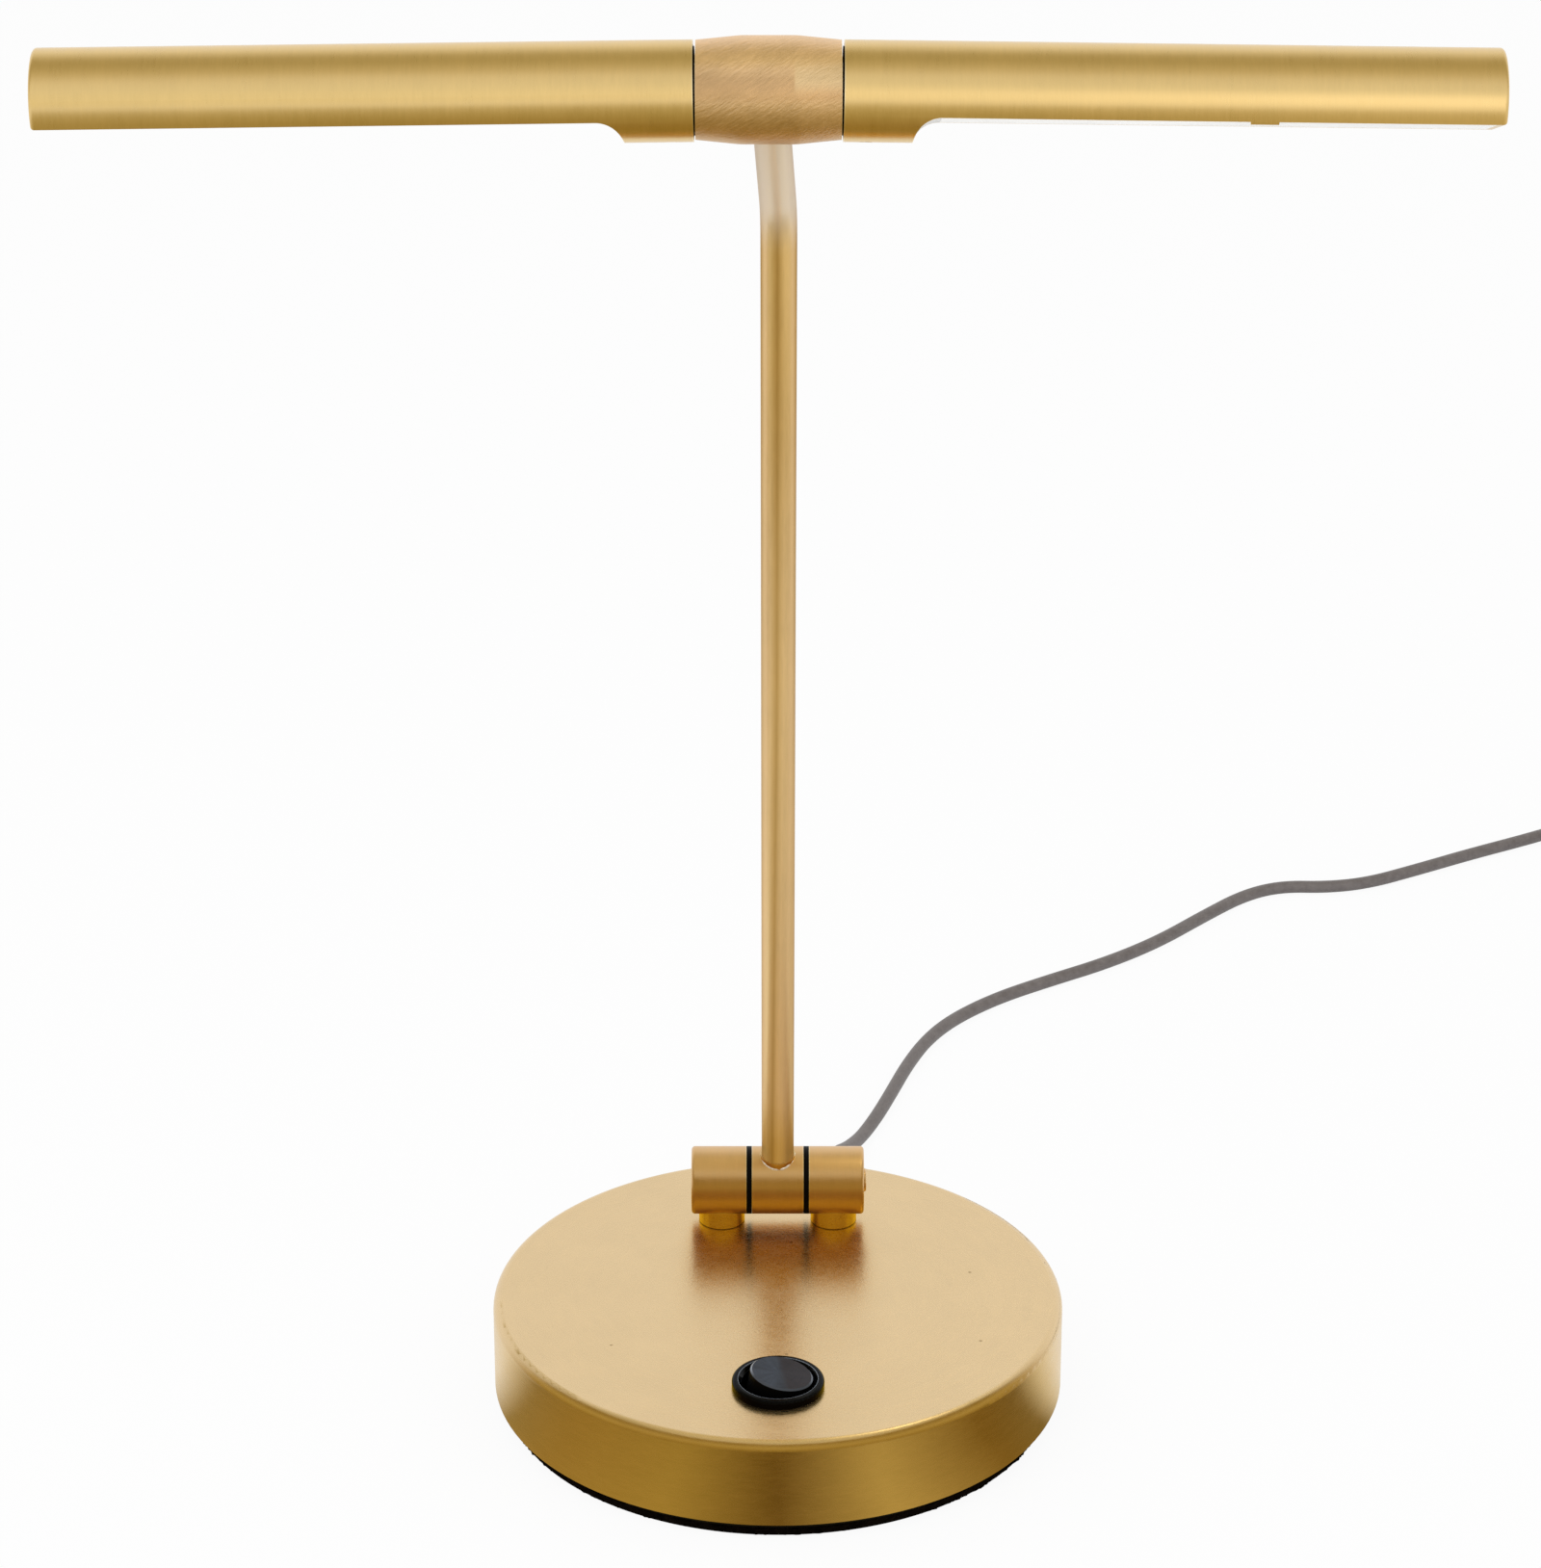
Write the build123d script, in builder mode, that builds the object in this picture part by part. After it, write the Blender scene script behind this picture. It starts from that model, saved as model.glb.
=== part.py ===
from build123d import *
import os
from math import cos, pi, radians, sin, sqrt, tan

os.makedirs("parts", exist_ok=True)

# Desk lamp for a piano: a weighted round foot, a bent arm on a friction hinge, and two light
# tubes that turn on a barrel-shaped hub. Millimetres, +Z up, +Y to the back, the origin under
# the middle of the foot at the height of the table.

# Fits
running_fit = 0.05  # radial, where one piece turns on another
snug_fit = 0.03  # radial, where one piece is fixed in another

# Foot
base_diameter = 148.0
shell_height = 23.6
shell_wall = 1.2
shell_rim_radius = 2.4
felt_inset = 2.4  # from the foot's edge to the felt's
felt_thickness = 2.2
felt_edge_radius = 0.5
plate_inset = 3.1  # from the foot's edge to the plate's
plate_thickness = 2.5
foot_headroom = 14.4  # between the ballast and the foot's top
ballast_gap = 0.4  # between the ballast's rim and the shell's wall
ballast_chamfer = 0.8
ballast_switch_gap = 1.0  # between the ballast and the switch's nut
ballast_notch_gap = 1.5  # between the ballast and the cord's clip
boss_diameter = 8.0
boss_inset = 16.0  # from the foot's edge to the middle of a boss
base_screw_count = 4
base_screw_diameter = 4.0
base_screw_head_diameter = 7.6
base_screw_grip = 8.0  # length of thread in a boss
base_screw_hole_spare = 1.0  # the hole in a boss runs this much past the screw
base_screw_clearance = 0.25  # radial, in the ballast and the plate

# Rocker switch in the front of the foot
switch_inset = 27.8  # from the foot's front edge to the middle of the switch
switch_body_diameter = 20.0
switch_body_depth = 13.5
switch_flange_overhang = 1.7  # how far the flange stands out over the hole
switch_flange_height = 2.3
switch_flange_edge = 0.9
switch_body_wall = 0.8
switch_slope_width = 0.9  # from the crest of the flange in to the well
switch_well_depth = 8.0
switch_slope_depth = 1.1
switch_nut_rim = 2.5  # width of the nut's ring
switch_nut_thickness = 3.0
switch_nut_notches = 6
switch_nut_notch_radius = 1.4
rocker_gap = 1.2  # radial, between the rocker and the well
rocker_height = 7.2
rocker_edge = 0.4
rocker_pivot_depth = 5.4  # from the rocker's face to its pivot axis
rocker_pivot_drop = 1.5  # from the foot's top to the pivot axis
rocker_tilt = 10.0
rocker_pin_diameter = 2.4
rocker_stem_diameter = 4.6
rocker_stem_reach = 4.2  # from the pivot axis down
plunger_diameter = 2.6
plunger_length = 2.2
plunger_reach = 5.0  # from the pivot axis to the plunger's tip
plunger_tip_radius = 1.2
spring_wire = 0.3
spring_turns = 4
spring_length = 2.0
contact_length = 9.0
contact_width = 4.0
contact_height = 2.4
terminal_width = 4.8
terminal_thickness = 0.8
terminal_length = 7.2
terminal_spacing = 7.0

# Driver board in the foot
board_length = 50.0
board_width = 34.0
board_thickness = 1.6
board_corner_radius = 1.5
board_back = 6.0  # the board's middle, behind the middle of the foot
board_post_diameter = 5.0
board_post_height = 3.0
board_post_inset = 4.0
choke_size = (14.0, 12.0, 8.0)
choke_place = (-13.0, -4.0)
capacitor_diameter = 7.0
capacitor_height = 8.5
capacitor_place = (6.0, -8.0)
capacitor_pitch = 9.0
chip_size = (6.0, 5.0, 1.6)
chip_place = (4.0, 6.0)
block_size = (10.0, 8.0, 7.5)
block_place = (18.0, 8.0)

# Friction hinge at the back of the foot
hinge_inset = 33.8  # from the foot's back edge to the hinge's axis
hinge_diameter = 18.0
hinge_clearance = 2.8  # between the barrels and the foot's top
knuckle_width = 13.7
knuckle_gap = 0.05  # on each side of the knuckle
friction_washer_thickness = 1.4
barrel_length = 14.6
barrel_end_wall = 4.2
barrel_edge_radius = 0.9
sleeve_diameter = 10.0
sleeve_bore = 7.0
sleeve_window_length = 5.0
hinge_bolt_diameter = 4.0
hinge_bolt_head_diameter = 6.2
hinge_bolt_head_height = 2.6
hinge_bolt_head_proud = 0.65
hinge_bolt_head_edge = 0.5
hinge_bolt_head_clearance = 0.15  # radial, in the barrel's end
hinge_bolt_socket = 2.5
hinge_bolt_end_gap = 1.0  # from the bolt's end to the left barrel's end face
hinge_spring_thickness = 0.6
post_diameter = 12.2
post_inset = 0.7  # the posts stand this much nearer the knuckle than their barrels' middles
post_spigot_diameter = 6.0
post_spigot_gap = 0.4  # from the spigot's end to the sleeve
post_stud_diameter = 8.0
post_stud_length = 9.0
post_wire_bore = 3.6
post_washer_diameter = 14.0
post_washer_thickness = 1.4
post_nut_flats = 12.0
post_nut_thickness = 4.5

# Arm
arm_diameter = 8.5
arm_wall = 0.9
arm_lean = 14.5  # forward, from upright
arm_length = 302.3  # hinge axis to bend
arm_root_gap = 0.8  # from the hinge sleeve to the arm's lower end
bend_angle = 25.7
bend_radius = 27.0
bend_twist = 6.1  # the upper run turns this much to the left about the arm
upper_length = 50.5  # bend to hub centre
braze_width = 0.8
braze_height = 0.7
braze_taper = 3.0  # degrees
arm_cable_diameter = 5.2

# Hub and the pivots in it
hub_length = 32.2
hub_swell = 0.72  # the hub's middle stands this much proud of the light tubes
hub_end_step = 0.27  # and its ends this much below them
hub_flat_length = 12.6
hub_edge_radius = 18.0
arm_seat_depth = 5.2  # from the hub's skin to the arm's upper end
head_droop = 0.75
light_turn = {-1: 12.7, 1: 19.7}  # how far each light faces forward of straight down
spindle_diameter = 12.0
spindle_shank_diameter = 10.0
spindle_shank_length = 10.0
spindle_length = 14.5
spindle_bore = 4.4
spindle_collar_gap = 0.1
groove_depth = 1.0
groove_width = 3.4
groove_arc = 270.0  # the rest of the turn is the stop
glide_washer_thickness = 0.25
glide_washer_inset = 1.4  # from the light tube's skin to the washer's edge

# Light tubes
tube_diameter = 22.4
tube_wall = 1.0
tube_gap = 0.45  # between the hub and a light tube
light_reach = 161.5  # hub centre to a light's outer end
flat_offset = 6.2  # the tube's axis to the plane of its opening
cove_start = 31.7
cove_radius = 6.3
tongue_distance = 105.4
tongue_length = 6.2
tongue_drop = 0.55
light_screw_distance = 21.5
light_screw_diameter = 3.0
light_screw_point_diameter = 2.4
light_screw_recess = 0.3
light_screw_point_gap = 0.3  # from its point to the groove's floor
light_screw_shoulder_gap = 0.4  # from its thread to the spindle
light_screw_socket = 1.5
socket_end_clearance = 0.6
socket_wire_bore = 5.0
end_cap_thickness = 2.2
end_cap_spigot = 3.0
end_cap_edge_radius = 0.9
diffuser_thickness = 1.4
carrier_wall = 1.1
carrier_web = 1.6
carrier_end_gap = 0.2
led_board_width = 11.0
led_board_thickness = 1.2
led_channel_gap = 0.2
led_board_end_gap = 1.0
led_pitch = 6.2
led_size = (2.8, 3.5, 0.7)

# Cord, its strain relief and the power supply on its far end
cord_diameter = 3.9
gland_turn = 8.0  # the cord leaves this far to the right of straight back
gland_height = 11.0
gland_neck_diameter = 8.0
gland_neck_length = 5.0
gland_flange_diameter = 12.0
gland_flange_thickness = 1.6
gland_length = 22.0
gland_root_diameter = 8.6
gland_tip_diameter = 5.6
gland_rib_count = 5
gland_rib_width = 1.6
gland_rib_depth = 0.7
gland_clip_diameter = 11.0
gland_clip_thickness = 2.0
gland_clip_gap = 0.1  # from the clip to the shell's wall
gland_core_step = 0.4
cord_lead = 9.0  # the cord's straight run out of the gland
cord_floor_gap = 0.05  # under the cord, where it lies on the table
coil_centre = (290.0, 335.0)
coil_mean_diameter = 46.8
coil_turns_wide = 5
coil_layer_rise = 0.87  # of a cord diameter, as the upper turns lie in the grooves of the lower
adapter_length = 60.0
adapter_width = 34.0
adapter_height = 22.0
adapter_corner_radius = 5.0
adapter_edge_radius = 2.0
adapter_middle = (321.0, 218.5)
adapter_cord_height = 7.0
adapter_relief_length = 12.0
adapter_relief_root = 7.6
adapter_relief_tip = 5.6
adapter_boss_size = (34.0, 13.6)
adapter_boss_height = 3.0
adapter_boss_setback = 12.0  # behind the adapter's middle
pin_diameter = 4.0
pin_length = 19.0
pin_spacing = 18.6
pin_tip_radius = 0.8

# Heights and frames that follow
base_radius = base_diameter / 2
felt_radius = base_radius - felt_inset
plate_radius = base_radius - plate_inset
boss_circle_radius = base_radius - boss_inset
shell_lift = felt_thickness + plate_thickness
deck_height = shell_lift + shell_height
deck_underside = deck_height - shell_wall
ballast_top = deck_underside - foot_headroom
ballast_thickness = ballast_top - shell_lift

gland_direction = Vector(sin(radians(gland_turn)), cos(radians(gland_turn)), 0)
gland_centre = gland_direction * base_radius + Vector(0, 0, gland_height)
gland_tip = gland_centre + gland_direction * (gland_flange_thickness + gland_length)

switch_forward = base_radius - switch_inset
switch_body_radius = switch_body_diameter / 2
switch_flange_radius = switch_body_radius + switch_flange_overhang
switch_nut_radius = switch_body_radius + switch_nut_rim
switch_well_radius = switch_body_radius - switch_body_wall
switch_ring_radius = switch_well_radius + switch_slope_width
rocker_radius = switch_well_radius - rocker_gap

hinge_setback = base_radius - hinge_inset
hinge_radius = hinge_diameter / 2
hinge_rise = hinge_clearance + hinge_radius
hinge_centre = Vector(0, hinge_setback, deck_height + hinge_rise)
sleeve_radius = sleeve_diameter / 2
washer_start = knuckle_width / 2 + knuckle_gap
barrel_start = washer_start + friction_washer_thickness
barrel_end = barrel_start + barrel_length
post_distance = barrel_start + barrel_length / 2 - post_inset

arm_radius = arm_diameter / 2
arm_plane = Plane(
    origin=hinge_centre,
    x_dir=(1, 0, 0),
    z_dir=(0, -sin(radians(arm_lean)), cos(radians(arm_lean))),
)
upper_direction = Vector(
    -sin(radians(bend_angle)) * sin(radians(bend_twist)),
    -sin(radians(bend_angle)) * cos(radians(bend_twist)),
    cos(radians(bend_angle)),
)
bend_point = arm_plane.from_local_coords(Vector(0, 0, arm_length))
hub_centre = arm_plane.from_local_coords(Vector(0, 0, arm_length) + upper_direction * upper_length)
upper_axis = (hub_centre - bend_point).normalized()

tube_radius = tube_diameter / 2
tube_bore_radius = tube_radius - tube_wall
insert_radius = tube_bore_radius - snug_fit
hub_radius = tube_radius + hub_swell
hub_end_radius = tube_radius - hub_end_step
tube_start = hub_length / 2 + tube_gap
tube_end = light_reach - end_cap_thickness
opening_start = cove_start + cove_radius
carrier_start = opening_start + carrier_end_gap
carrier_end = tube_end - end_cap_spigot - carrier_end_gap
led_board_length = carrier_end - carrier_start - 2 * led_board_end_gap
led_count = int(led_board_length / led_pitch)
spindle_radius = spindle_diameter / 2
spindle_start = hub_length / 2 + spindle_collar_gap
spindle_end = spindle_start + spindle_length
diffuser_top = diffuser_thickness - flat_offset

SIDES = ((-1, "left"), (1, "right"))


def write(piece, label):
    """Labels a finished piece and writes it as a STEP file."""
    piece.part.label = label
    export_step(piece.part, f"parts/{label}.step")


def hinge_plane(side, distance):
    """Plane across the hinge axis, +Z outward on that side, +Y up."""
    return Plane(
        origin=hinge_centre + Vector(side * distance, 0, 0), x_dir=(0, side, 0), z_dir=(side, 0, 0)
    )


def light_axes(side):
    """Unit vectors of a light tube: outward along it, and up, away from its light."""
    droop = radians(head_droop)
    turn = radians(light_turn[side])
    outward = Vector(side * cos(droop), 0, -sin(droop))
    level_up = Vector(side * sin(droop), 0, cos(droop))
    return outward, level_up * cos(turn) + Vector(0, sin(turn), 0)


def light_plane(side, distance):
    """Plane across a light tube, +Z outward, +Y away from its light."""
    outward, up = light_axes(side)
    return Plane(origin=hub_centre + outward * distance, x_dir=up.cross(outward), z_dir=outward)


def light_down_plane(side, distance):
    """Plane along a light tube through its axis, +Z the way its light shines, +X outward."""
    outward, up = light_axes(side)
    return Plane(origin=hub_centre + outward * distance, x_dir=outward, z_dir=-up)


def disc_above(radius, level):
    """Sketch of the part of a disc that lies above a level."""
    with BuildSketch() as piece:
        Circle(radius)
        with Locations((0, level - radius)):
            Rectangle(2 * radius, 2 * radius, mode=Mode.SUBTRACT)
    return piece.sketch


def opening_profile(side):
    """Side view of what is milled off below a light tube: a long flat that ends in a cove."""
    outward, up = light_axes(side)
    length = light_reach - cove_start + tube_radius
    height = tube_diameter
    with BuildSketch(Plane(origin=hub_centre, x_dir=outward, z_dir=outward.cross(up))) as profile:
        with Locations((cove_start + length / 2, -flat_offset - height / 2)):
            Rectangle(length, height)
        corner = profile.vertices().group_by(Axis.X)[0].sort_by(Axis.Y)[-1]
        fillet(corner, cove_radius)
    return profile.sketch


def corner_radii(route):
    """The radius at each corner of a cord's route: as large as the two runs there allow."""
    runs = [Vector(end) - Vector(start) for start, end in zip(route, route[1:])]
    corners = zip(runs, runs[1:])
    return [0.45 * min(a.length, b.length) / tan(radians(a.get_angle(b) / 2)) for a, b in corners]


def base_screw_places():
    """Where the screws of the foot stand, seen from above."""
    return PolarLocations(boss_circle_radius, base_screw_count, start_angle=180 / base_screw_count)


# ---------------------------------------------------------------- foot

with BuildPart() as base_shell:
    with BuildSketch(Plane.XY.offset(shell_lift)):
        Circle(base_radius)
    extrude(amount=shell_height)
    fillet(base_shell.faces().sort_by(Axis.Z)[-1].edges(), shell_rim_radius)
    offset(amount=-shell_wall, openings=base_shell.faces().sort_by(Axis.Z)[0])
    with BuildSketch(Plane.XY.offset(ballast_top)):
        with base_screw_places():
            Circle(boss_diameter / 2)
    extrude(amount=foot_headroom)
    with BuildSketch(Plane.XY.offset(ballast_top)):
        with base_screw_places():
            Circle(base_screw_diameter / 2 + snug_fit)
    extrude(amount=base_screw_grip + base_screw_hole_spare, mode=Mode.SUBTRACT)
    with BuildSketch(Plane.XY.offset(deck_underside)):
        with Locations((0, -switch_forward)):
            Circle(switch_body_radius + snug_fit)
        with Locations((-post_distance, hinge_setback), (post_distance, hinge_setback)):
            Circle(post_stud_diameter / 2 + snug_fit)
    extrude(amount=shell_wall, mode=Mode.SUBTRACT)
    with BuildSketch(Plane(origin=gland_centre, z_dir=-gland_direction)):
        Circle(gland_neck_diameter / 2 + snug_fit)
    extrude(amount=gland_neck_length, mode=Mode.SUBTRACT)
write(base_shell, "base_shell")

with BuildPart() as ballast_disc:
    with BuildSketch(Plane.XY.offset(shell_lift)):
        Circle(base_radius - shell_wall - ballast_gap)
        with Locations((0, -switch_forward)):
            Circle(switch_nut_radius + ballast_switch_gap, mode=Mode.SUBTRACT)
        with base_screw_places():
            Circle(base_screw_diameter / 2 + base_screw_clearance, mode=Mode.SUBTRACT)
    extrude(amount=ballast_thickness)
    rim = ballast_disc.edges().filter_by(GeomType.CIRCLE).sort_by(SortBy.RADIUS)[-2:]
    chamfer(rim, ballast_chamfer)
    notch_depth = shell_wall + gland_neck_length + ballast_notch_gap
    with BuildSketch(Plane.XY.offset(shell_lift)):
        with PolarLocations(base_radius - notch_depth / 2, 1, start_angle=90 - gland_turn):
            Rectangle(notch_depth, gland_clip_diameter + 2 * ballast_notch_gap)
    extrude(amount=ballast_thickness, mode=Mode.SUBTRACT)
write(ballast_disc, "ballast_disc")

with BuildPart() as bottom_plate:
    with BuildSketch(Plane.XY.offset(felt_thickness)):
        Circle(plate_radius)
    extrude(amount=plate_thickness)
    with Locations(Plane(origin=(0, 0, felt_thickness), z_dir=(0, 0, -1))):
        with base_screw_places():
            CounterSinkHole(
                base_screw_diameter / 2 + base_screw_clearance,
                base_screw_head_diameter / 2 + base_screw_clearance,
                counter_sink_angle=90,
            )
write(bottom_plate, "bottom_plate")

base_screw_cone = (base_screw_head_diameter - base_screw_diameter) / 2
with BuildPart() as base_screws:
    with BuildSketch(Plane.XY.offset(felt_thickness)):
        with base_screw_places():
            Circle(base_screw_diameter / 2)
    extrude(amount=plate_thickness + ballast_thickness + base_screw_grip)
    with BuildSketch(Plane.XY.offset(felt_thickness)):
        with base_screw_places():
            Circle(base_screw_head_diameter / 2)
    extrude(amount=base_screw_cone, taper=45)
write(base_screws, "base_screws")

with BuildPart() as felt_pad:
    with BuildSketch():
        Circle(felt_radius)
    extrude(amount=felt_thickness)
    fillet(felt_pad.edges().sort_by(Axis.Z)[0], felt_edge_radius)
write(felt_pad, "felt_pad")

# ---------------------------------------------------------------- switch

switch_face = Plane(origin=(0, -switch_forward, deck_height), z_dir=(0, 0, 1))
switch_section = Plane(origin=switch_face.origin, x_dir=(1, 0, 0), z_dir=(0, -1, 0))
rocker_pivot = switch_face.origin - Vector(0, 0, rocker_pivot_drop)

with BuildPart() as switch_housing:
    with BuildSketch(switch_section):
        with BuildLine():
            Polyline(
                (0, -switch_body_depth),
                (switch_body_radius, -switch_body_depth),
                (switch_body_radius, 0),
                (switch_flange_radius, 0),
                (switch_flange_radius, switch_flange_height),
                (switch_ring_radius, switch_flange_height),
                (switch_well_radius, switch_flange_height - switch_slope_depth),
                (switch_well_radius, -switch_well_depth),
                (0, -switch_well_depth),
                close=True,
            )
        make_face()
    revolve(axis=Axis(switch_face.origin, (0, 0, 1)))
    flange_rim = switch_housing.edges().filter_by(GeomType.CIRCLE).sort_by(SortBy.RADIUS)[-2:]
    fillet(flange_rim.sort_by(Axis.Z)[-1], switch_flange_edge)
    with BuildSketch(Plane(origin=rocker_pivot, z_dir=(0, 1, 0))):
        Circle(rocker_pin_diameter / 2 + running_fit)
    extrude(amount=switch_body_radius, both=True, mode=Mode.SUBTRACT)
write(switch_housing, "switch_housing")

with BuildPart() as switch_nut:
    with BuildSketch(Plane.XY.offset(deck_underside - switch_nut_thickness)):
        with Locations((0, -switch_forward)):
            Circle(switch_nut_radius)
            Circle(switch_body_radius + snug_fit, mode=Mode.SUBTRACT)
            with PolarLocations(switch_nut_radius, switch_nut_notches):
                Circle(switch_nut_notch_radius, mode=Mode.SUBTRACT)
    extrude(amount=switch_nut_thickness)
write(switch_nut, "switch_nut")

with BuildPart() as switch_terminals:
    with BuildSketch(Plane.XY.offset(deck_height - switch_body_depth - terminal_length)):
        with Locations((0, -switch_forward)):
            with GridLocations(terminal_spacing, 0, 2, 1):
                Rectangle(terminal_thickness, terminal_width)
    extrude(amount=terminal_length)
write(switch_terminals, "switch_terminals")

tilt = radians(rocker_tilt)
rocker_axis = Vector(sin(tilt), 0, cos(tilt))
rocker_plane = Plane(origin=rocker_pivot, x_dir=(cos(tilt), 0, -sin(tilt)), z_dir=rocker_axis)
rocker_underside = rocker_pivot_depth - rocker_height
plunger_top = plunger_length - plunger_reach
stem_bore_top = plunger_top + spring_length
with BuildPart() as switch_rocker:
    with BuildSketch(rocker_plane.offset(rocker_underside)):
        Circle(rocker_radius)
    extrude(amount=rocker_height)
    face_rim = switch_rocker.edges().filter_by(GeomType.CIRCLE).sort_by(Axis.Z)[-1]
    chamfer(face_rim, rocker_edge)
    with BuildSketch(rocker_plane.offset(-rocker_stem_reach)):
        Circle(rocker_stem_diameter / 2)
    extrude(amount=rocker_stem_reach + rocker_underside)
    with BuildSketch(Plane(origin=rocker_pivot, z_dir=(0, 1, 0))):
        Circle(rocker_pin_diameter / 2)
    extrude(amount=switch_body_radius - running_fit, both=True)
    with BuildSketch(rocker_plane.offset(-rocker_stem_reach)):
        Circle(plunger_diameter / 2 + snug_fit)
    extrude(amount=rocker_stem_reach + stem_bore_top, mode=Mode.SUBTRACT)
write(switch_rocker, "switch_rocker")

with BuildPart() as switch_plunger:
    with BuildSketch(rocker_plane.offset(-plunger_reach)):
        Circle(plunger_diameter / 2)
    extrude(amount=plunger_length)
    fillet(switch_plunger.edges().filter_by(GeomType.CIRCLE).sort_by(Axis.Z)[0], plunger_tip_radius)
write(switch_plunger, "switch_plunger")

spring_rise = spring_length - spring_wire
with BuildPart() as switch_spring:
    with BuildLine() as spring_line:
        Helix(
            pitch=spring_rise / spring_turns,
            height=spring_rise,
            radius=(plunger_diameter - spring_wire) / 2,
            center=rocker_plane.from_local_coords(Vector(0, 0, plunger_top + spring_wire / 2)),
            direction=rocker_plane.z_dir,
        )
    with BuildSketch(Plane(origin=spring_line.line @ 0, z_dir=spring_line.line % 0)):
        Circle(spring_wire / 2)
    sweep(is_frenet=True)
write(switch_spring, "switch_spring")

with BuildPart() as switch_contact:
    with BuildSketch(switch_face.offset(-switch_well_depth)):
        Rectangle(contact_length, contact_width)
    extrude(amount=contact_height)
    with BuildSketch(Plane(origin=rocker_pivot, z_dir=(0, 1, 0))):
        Circle(plunger_reach + running_fit)
    extrude(amount=contact_width, both=True, mode=Mode.SUBTRACT)
write(switch_contact, "switch_contact")

# ---------------------------------------------------------------- driver board

board_floor = ballast_top + board_post_height
post_span = (board_length - 2 * board_post_inset, board_width - 2 * board_post_inset)
board_top = board_floor + board_thickness

with BuildPart() as board_posts:
    with BuildSketch(Plane.XY.offset(ballast_top)):
        with Locations((0, board_back)):
            with GridLocations(*post_span, 2, 2):
                Circle(board_post_diameter / 2)
    extrude(amount=board_post_height)
write(board_posts, "board_posts")

with BuildPart() as driver_board:
    with BuildSketch(Plane.XY.offset(board_floor)):
        with Locations((0, board_back)):
            RectangleRounded(board_length, board_width, board_corner_radius)
    extrude(amount=board_thickness)
write(driver_board, "driver_board")

with BuildPart() as driver_parts:
    for size, place in ((choke_size, choke_place), (chip_size, chip_place), (block_size, block_place)):
        with BuildSketch(Plane.XY.offset(board_top)):
            with Locations((place[0], board_back + place[1])):
                Rectangle(size[0], size[1])
        extrude(amount=size[2])
    with BuildSketch(Plane.XY.offset(board_top)):
        with Locations((capacitor_place[0], board_back + capacitor_place[1])):
            with GridLocations(capacitor_pitch, 0, 2, 1):
                Circle(capacitor_diameter / 2)
    extrude(amount=capacitor_height)
write(driver_parts, "driver_parts")

# ---------------------------------------------------------------- hinge

for side, side_name in SIDES:
    post_centre = (side * post_distance, hinge_setback)

    with BuildPart() as hinge_post:
        with BuildSketch(Plane.XY.offset(deck_height)):
            with Locations(post_centre):
                Circle(post_diameter / 2)
        extrude(amount=hinge_rise)
        with BuildSketch(hinge_plane(side, 0)):
            Circle(hinge_radius + snug_fit)
        extrude(amount=barrel_end + post_diameter, mode=Mode.SUBTRACT)
        with BuildSketch(Plane.XY.offset(deck_height)):
            with Locations(post_centre):
                Circle(post_spigot_diameter / 2)
        extrude(amount=hinge_rise - sleeve_radius - post_spigot_gap)
        with BuildSketch(Plane.XY.offset(deck_height - post_stud_length)):
            with Locations(post_centre):
                Circle(post_stud_diameter / 2)
        extrude(amount=post_stud_length)
        with BuildSketch(Plane.XY.offset(deck_height - post_stud_length)):
            with Locations(post_centre):
                Circle(post_wire_bore / 2)
        extrude(amount=post_stud_length + hinge_rise, mode=Mode.SUBTRACT)
    write(hinge_post, f"hinge_post_{side_name}")

    with BuildPart() as hinge_barrel:
        with BuildSketch(hinge_plane(side, barrel_start)):
            Circle(hinge_radius)
        extrude(amount=barrel_length)
        outer_face = hinge_barrel.faces().sort_by(Axis.X)[-1 if side > 0 else 0]
        fillet(outer_face.edges(), barrel_edge_radius)
        with BuildSketch(hinge_plane(side, barrel_start)):
            Circle(sleeve_radius + snug_fit)
        extrude(amount=barrel_length - barrel_end_wall, mode=Mode.SUBTRACT)
        with BuildSketch(hinge_plane(side, barrel_start)):
            Circle(hinge_bolt_diameter / 2 + snug_fit)
        extrude(amount=barrel_length, mode=Mode.SUBTRACT)
        if side > 0:
            head_seat = hinge_bolt_head_height - hinge_bolt_head_proud + hinge_spring_thickness
            with BuildSketch(hinge_plane(side, barrel_end - head_seat)):
                Circle(hinge_bolt_head_diameter / 2 + hinge_bolt_head_clearance)
            extrude(amount=head_seat, mode=Mode.SUBTRACT)
        spigot_origin = (side * post_distance, hinge_setback, hinge_centre.Z)
        with BuildSketch(Plane(origin=spigot_origin, z_dir=(0, 0, -1))):
            Circle(post_spigot_diameter / 2 + snug_fit)
        extrude(amount=hinge_diameter, mode=Mode.SUBTRACT)
    write(hinge_barrel, f"hinge_barrel_{side_name}")

    with BuildPart() as friction_washer:
        with BuildSketch(hinge_plane(side, washer_start)):
            Circle(hinge_radius)
            Circle(sleeve_radius + running_fit, mode=Mode.SUBTRACT)
        extrude(amount=friction_washer_thickness)
    write(friction_washer, f"friction_washer_{side_name}")

with BuildPart() as post_washers:
    with BuildSketch(Plane.XY.offset(deck_underside - post_washer_thickness)):
        with Locations((-post_distance, hinge_setback), (post_distance, hinge_setback)):
            Circle(post_washer_diameter / 2)
            Circle(post_stud_diameter / 2 + snug_fit, mode=Mode.SUBTRACT)
    extrude(amount=post_washer_thickness)
write(post_washers, "post_washers")

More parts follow.
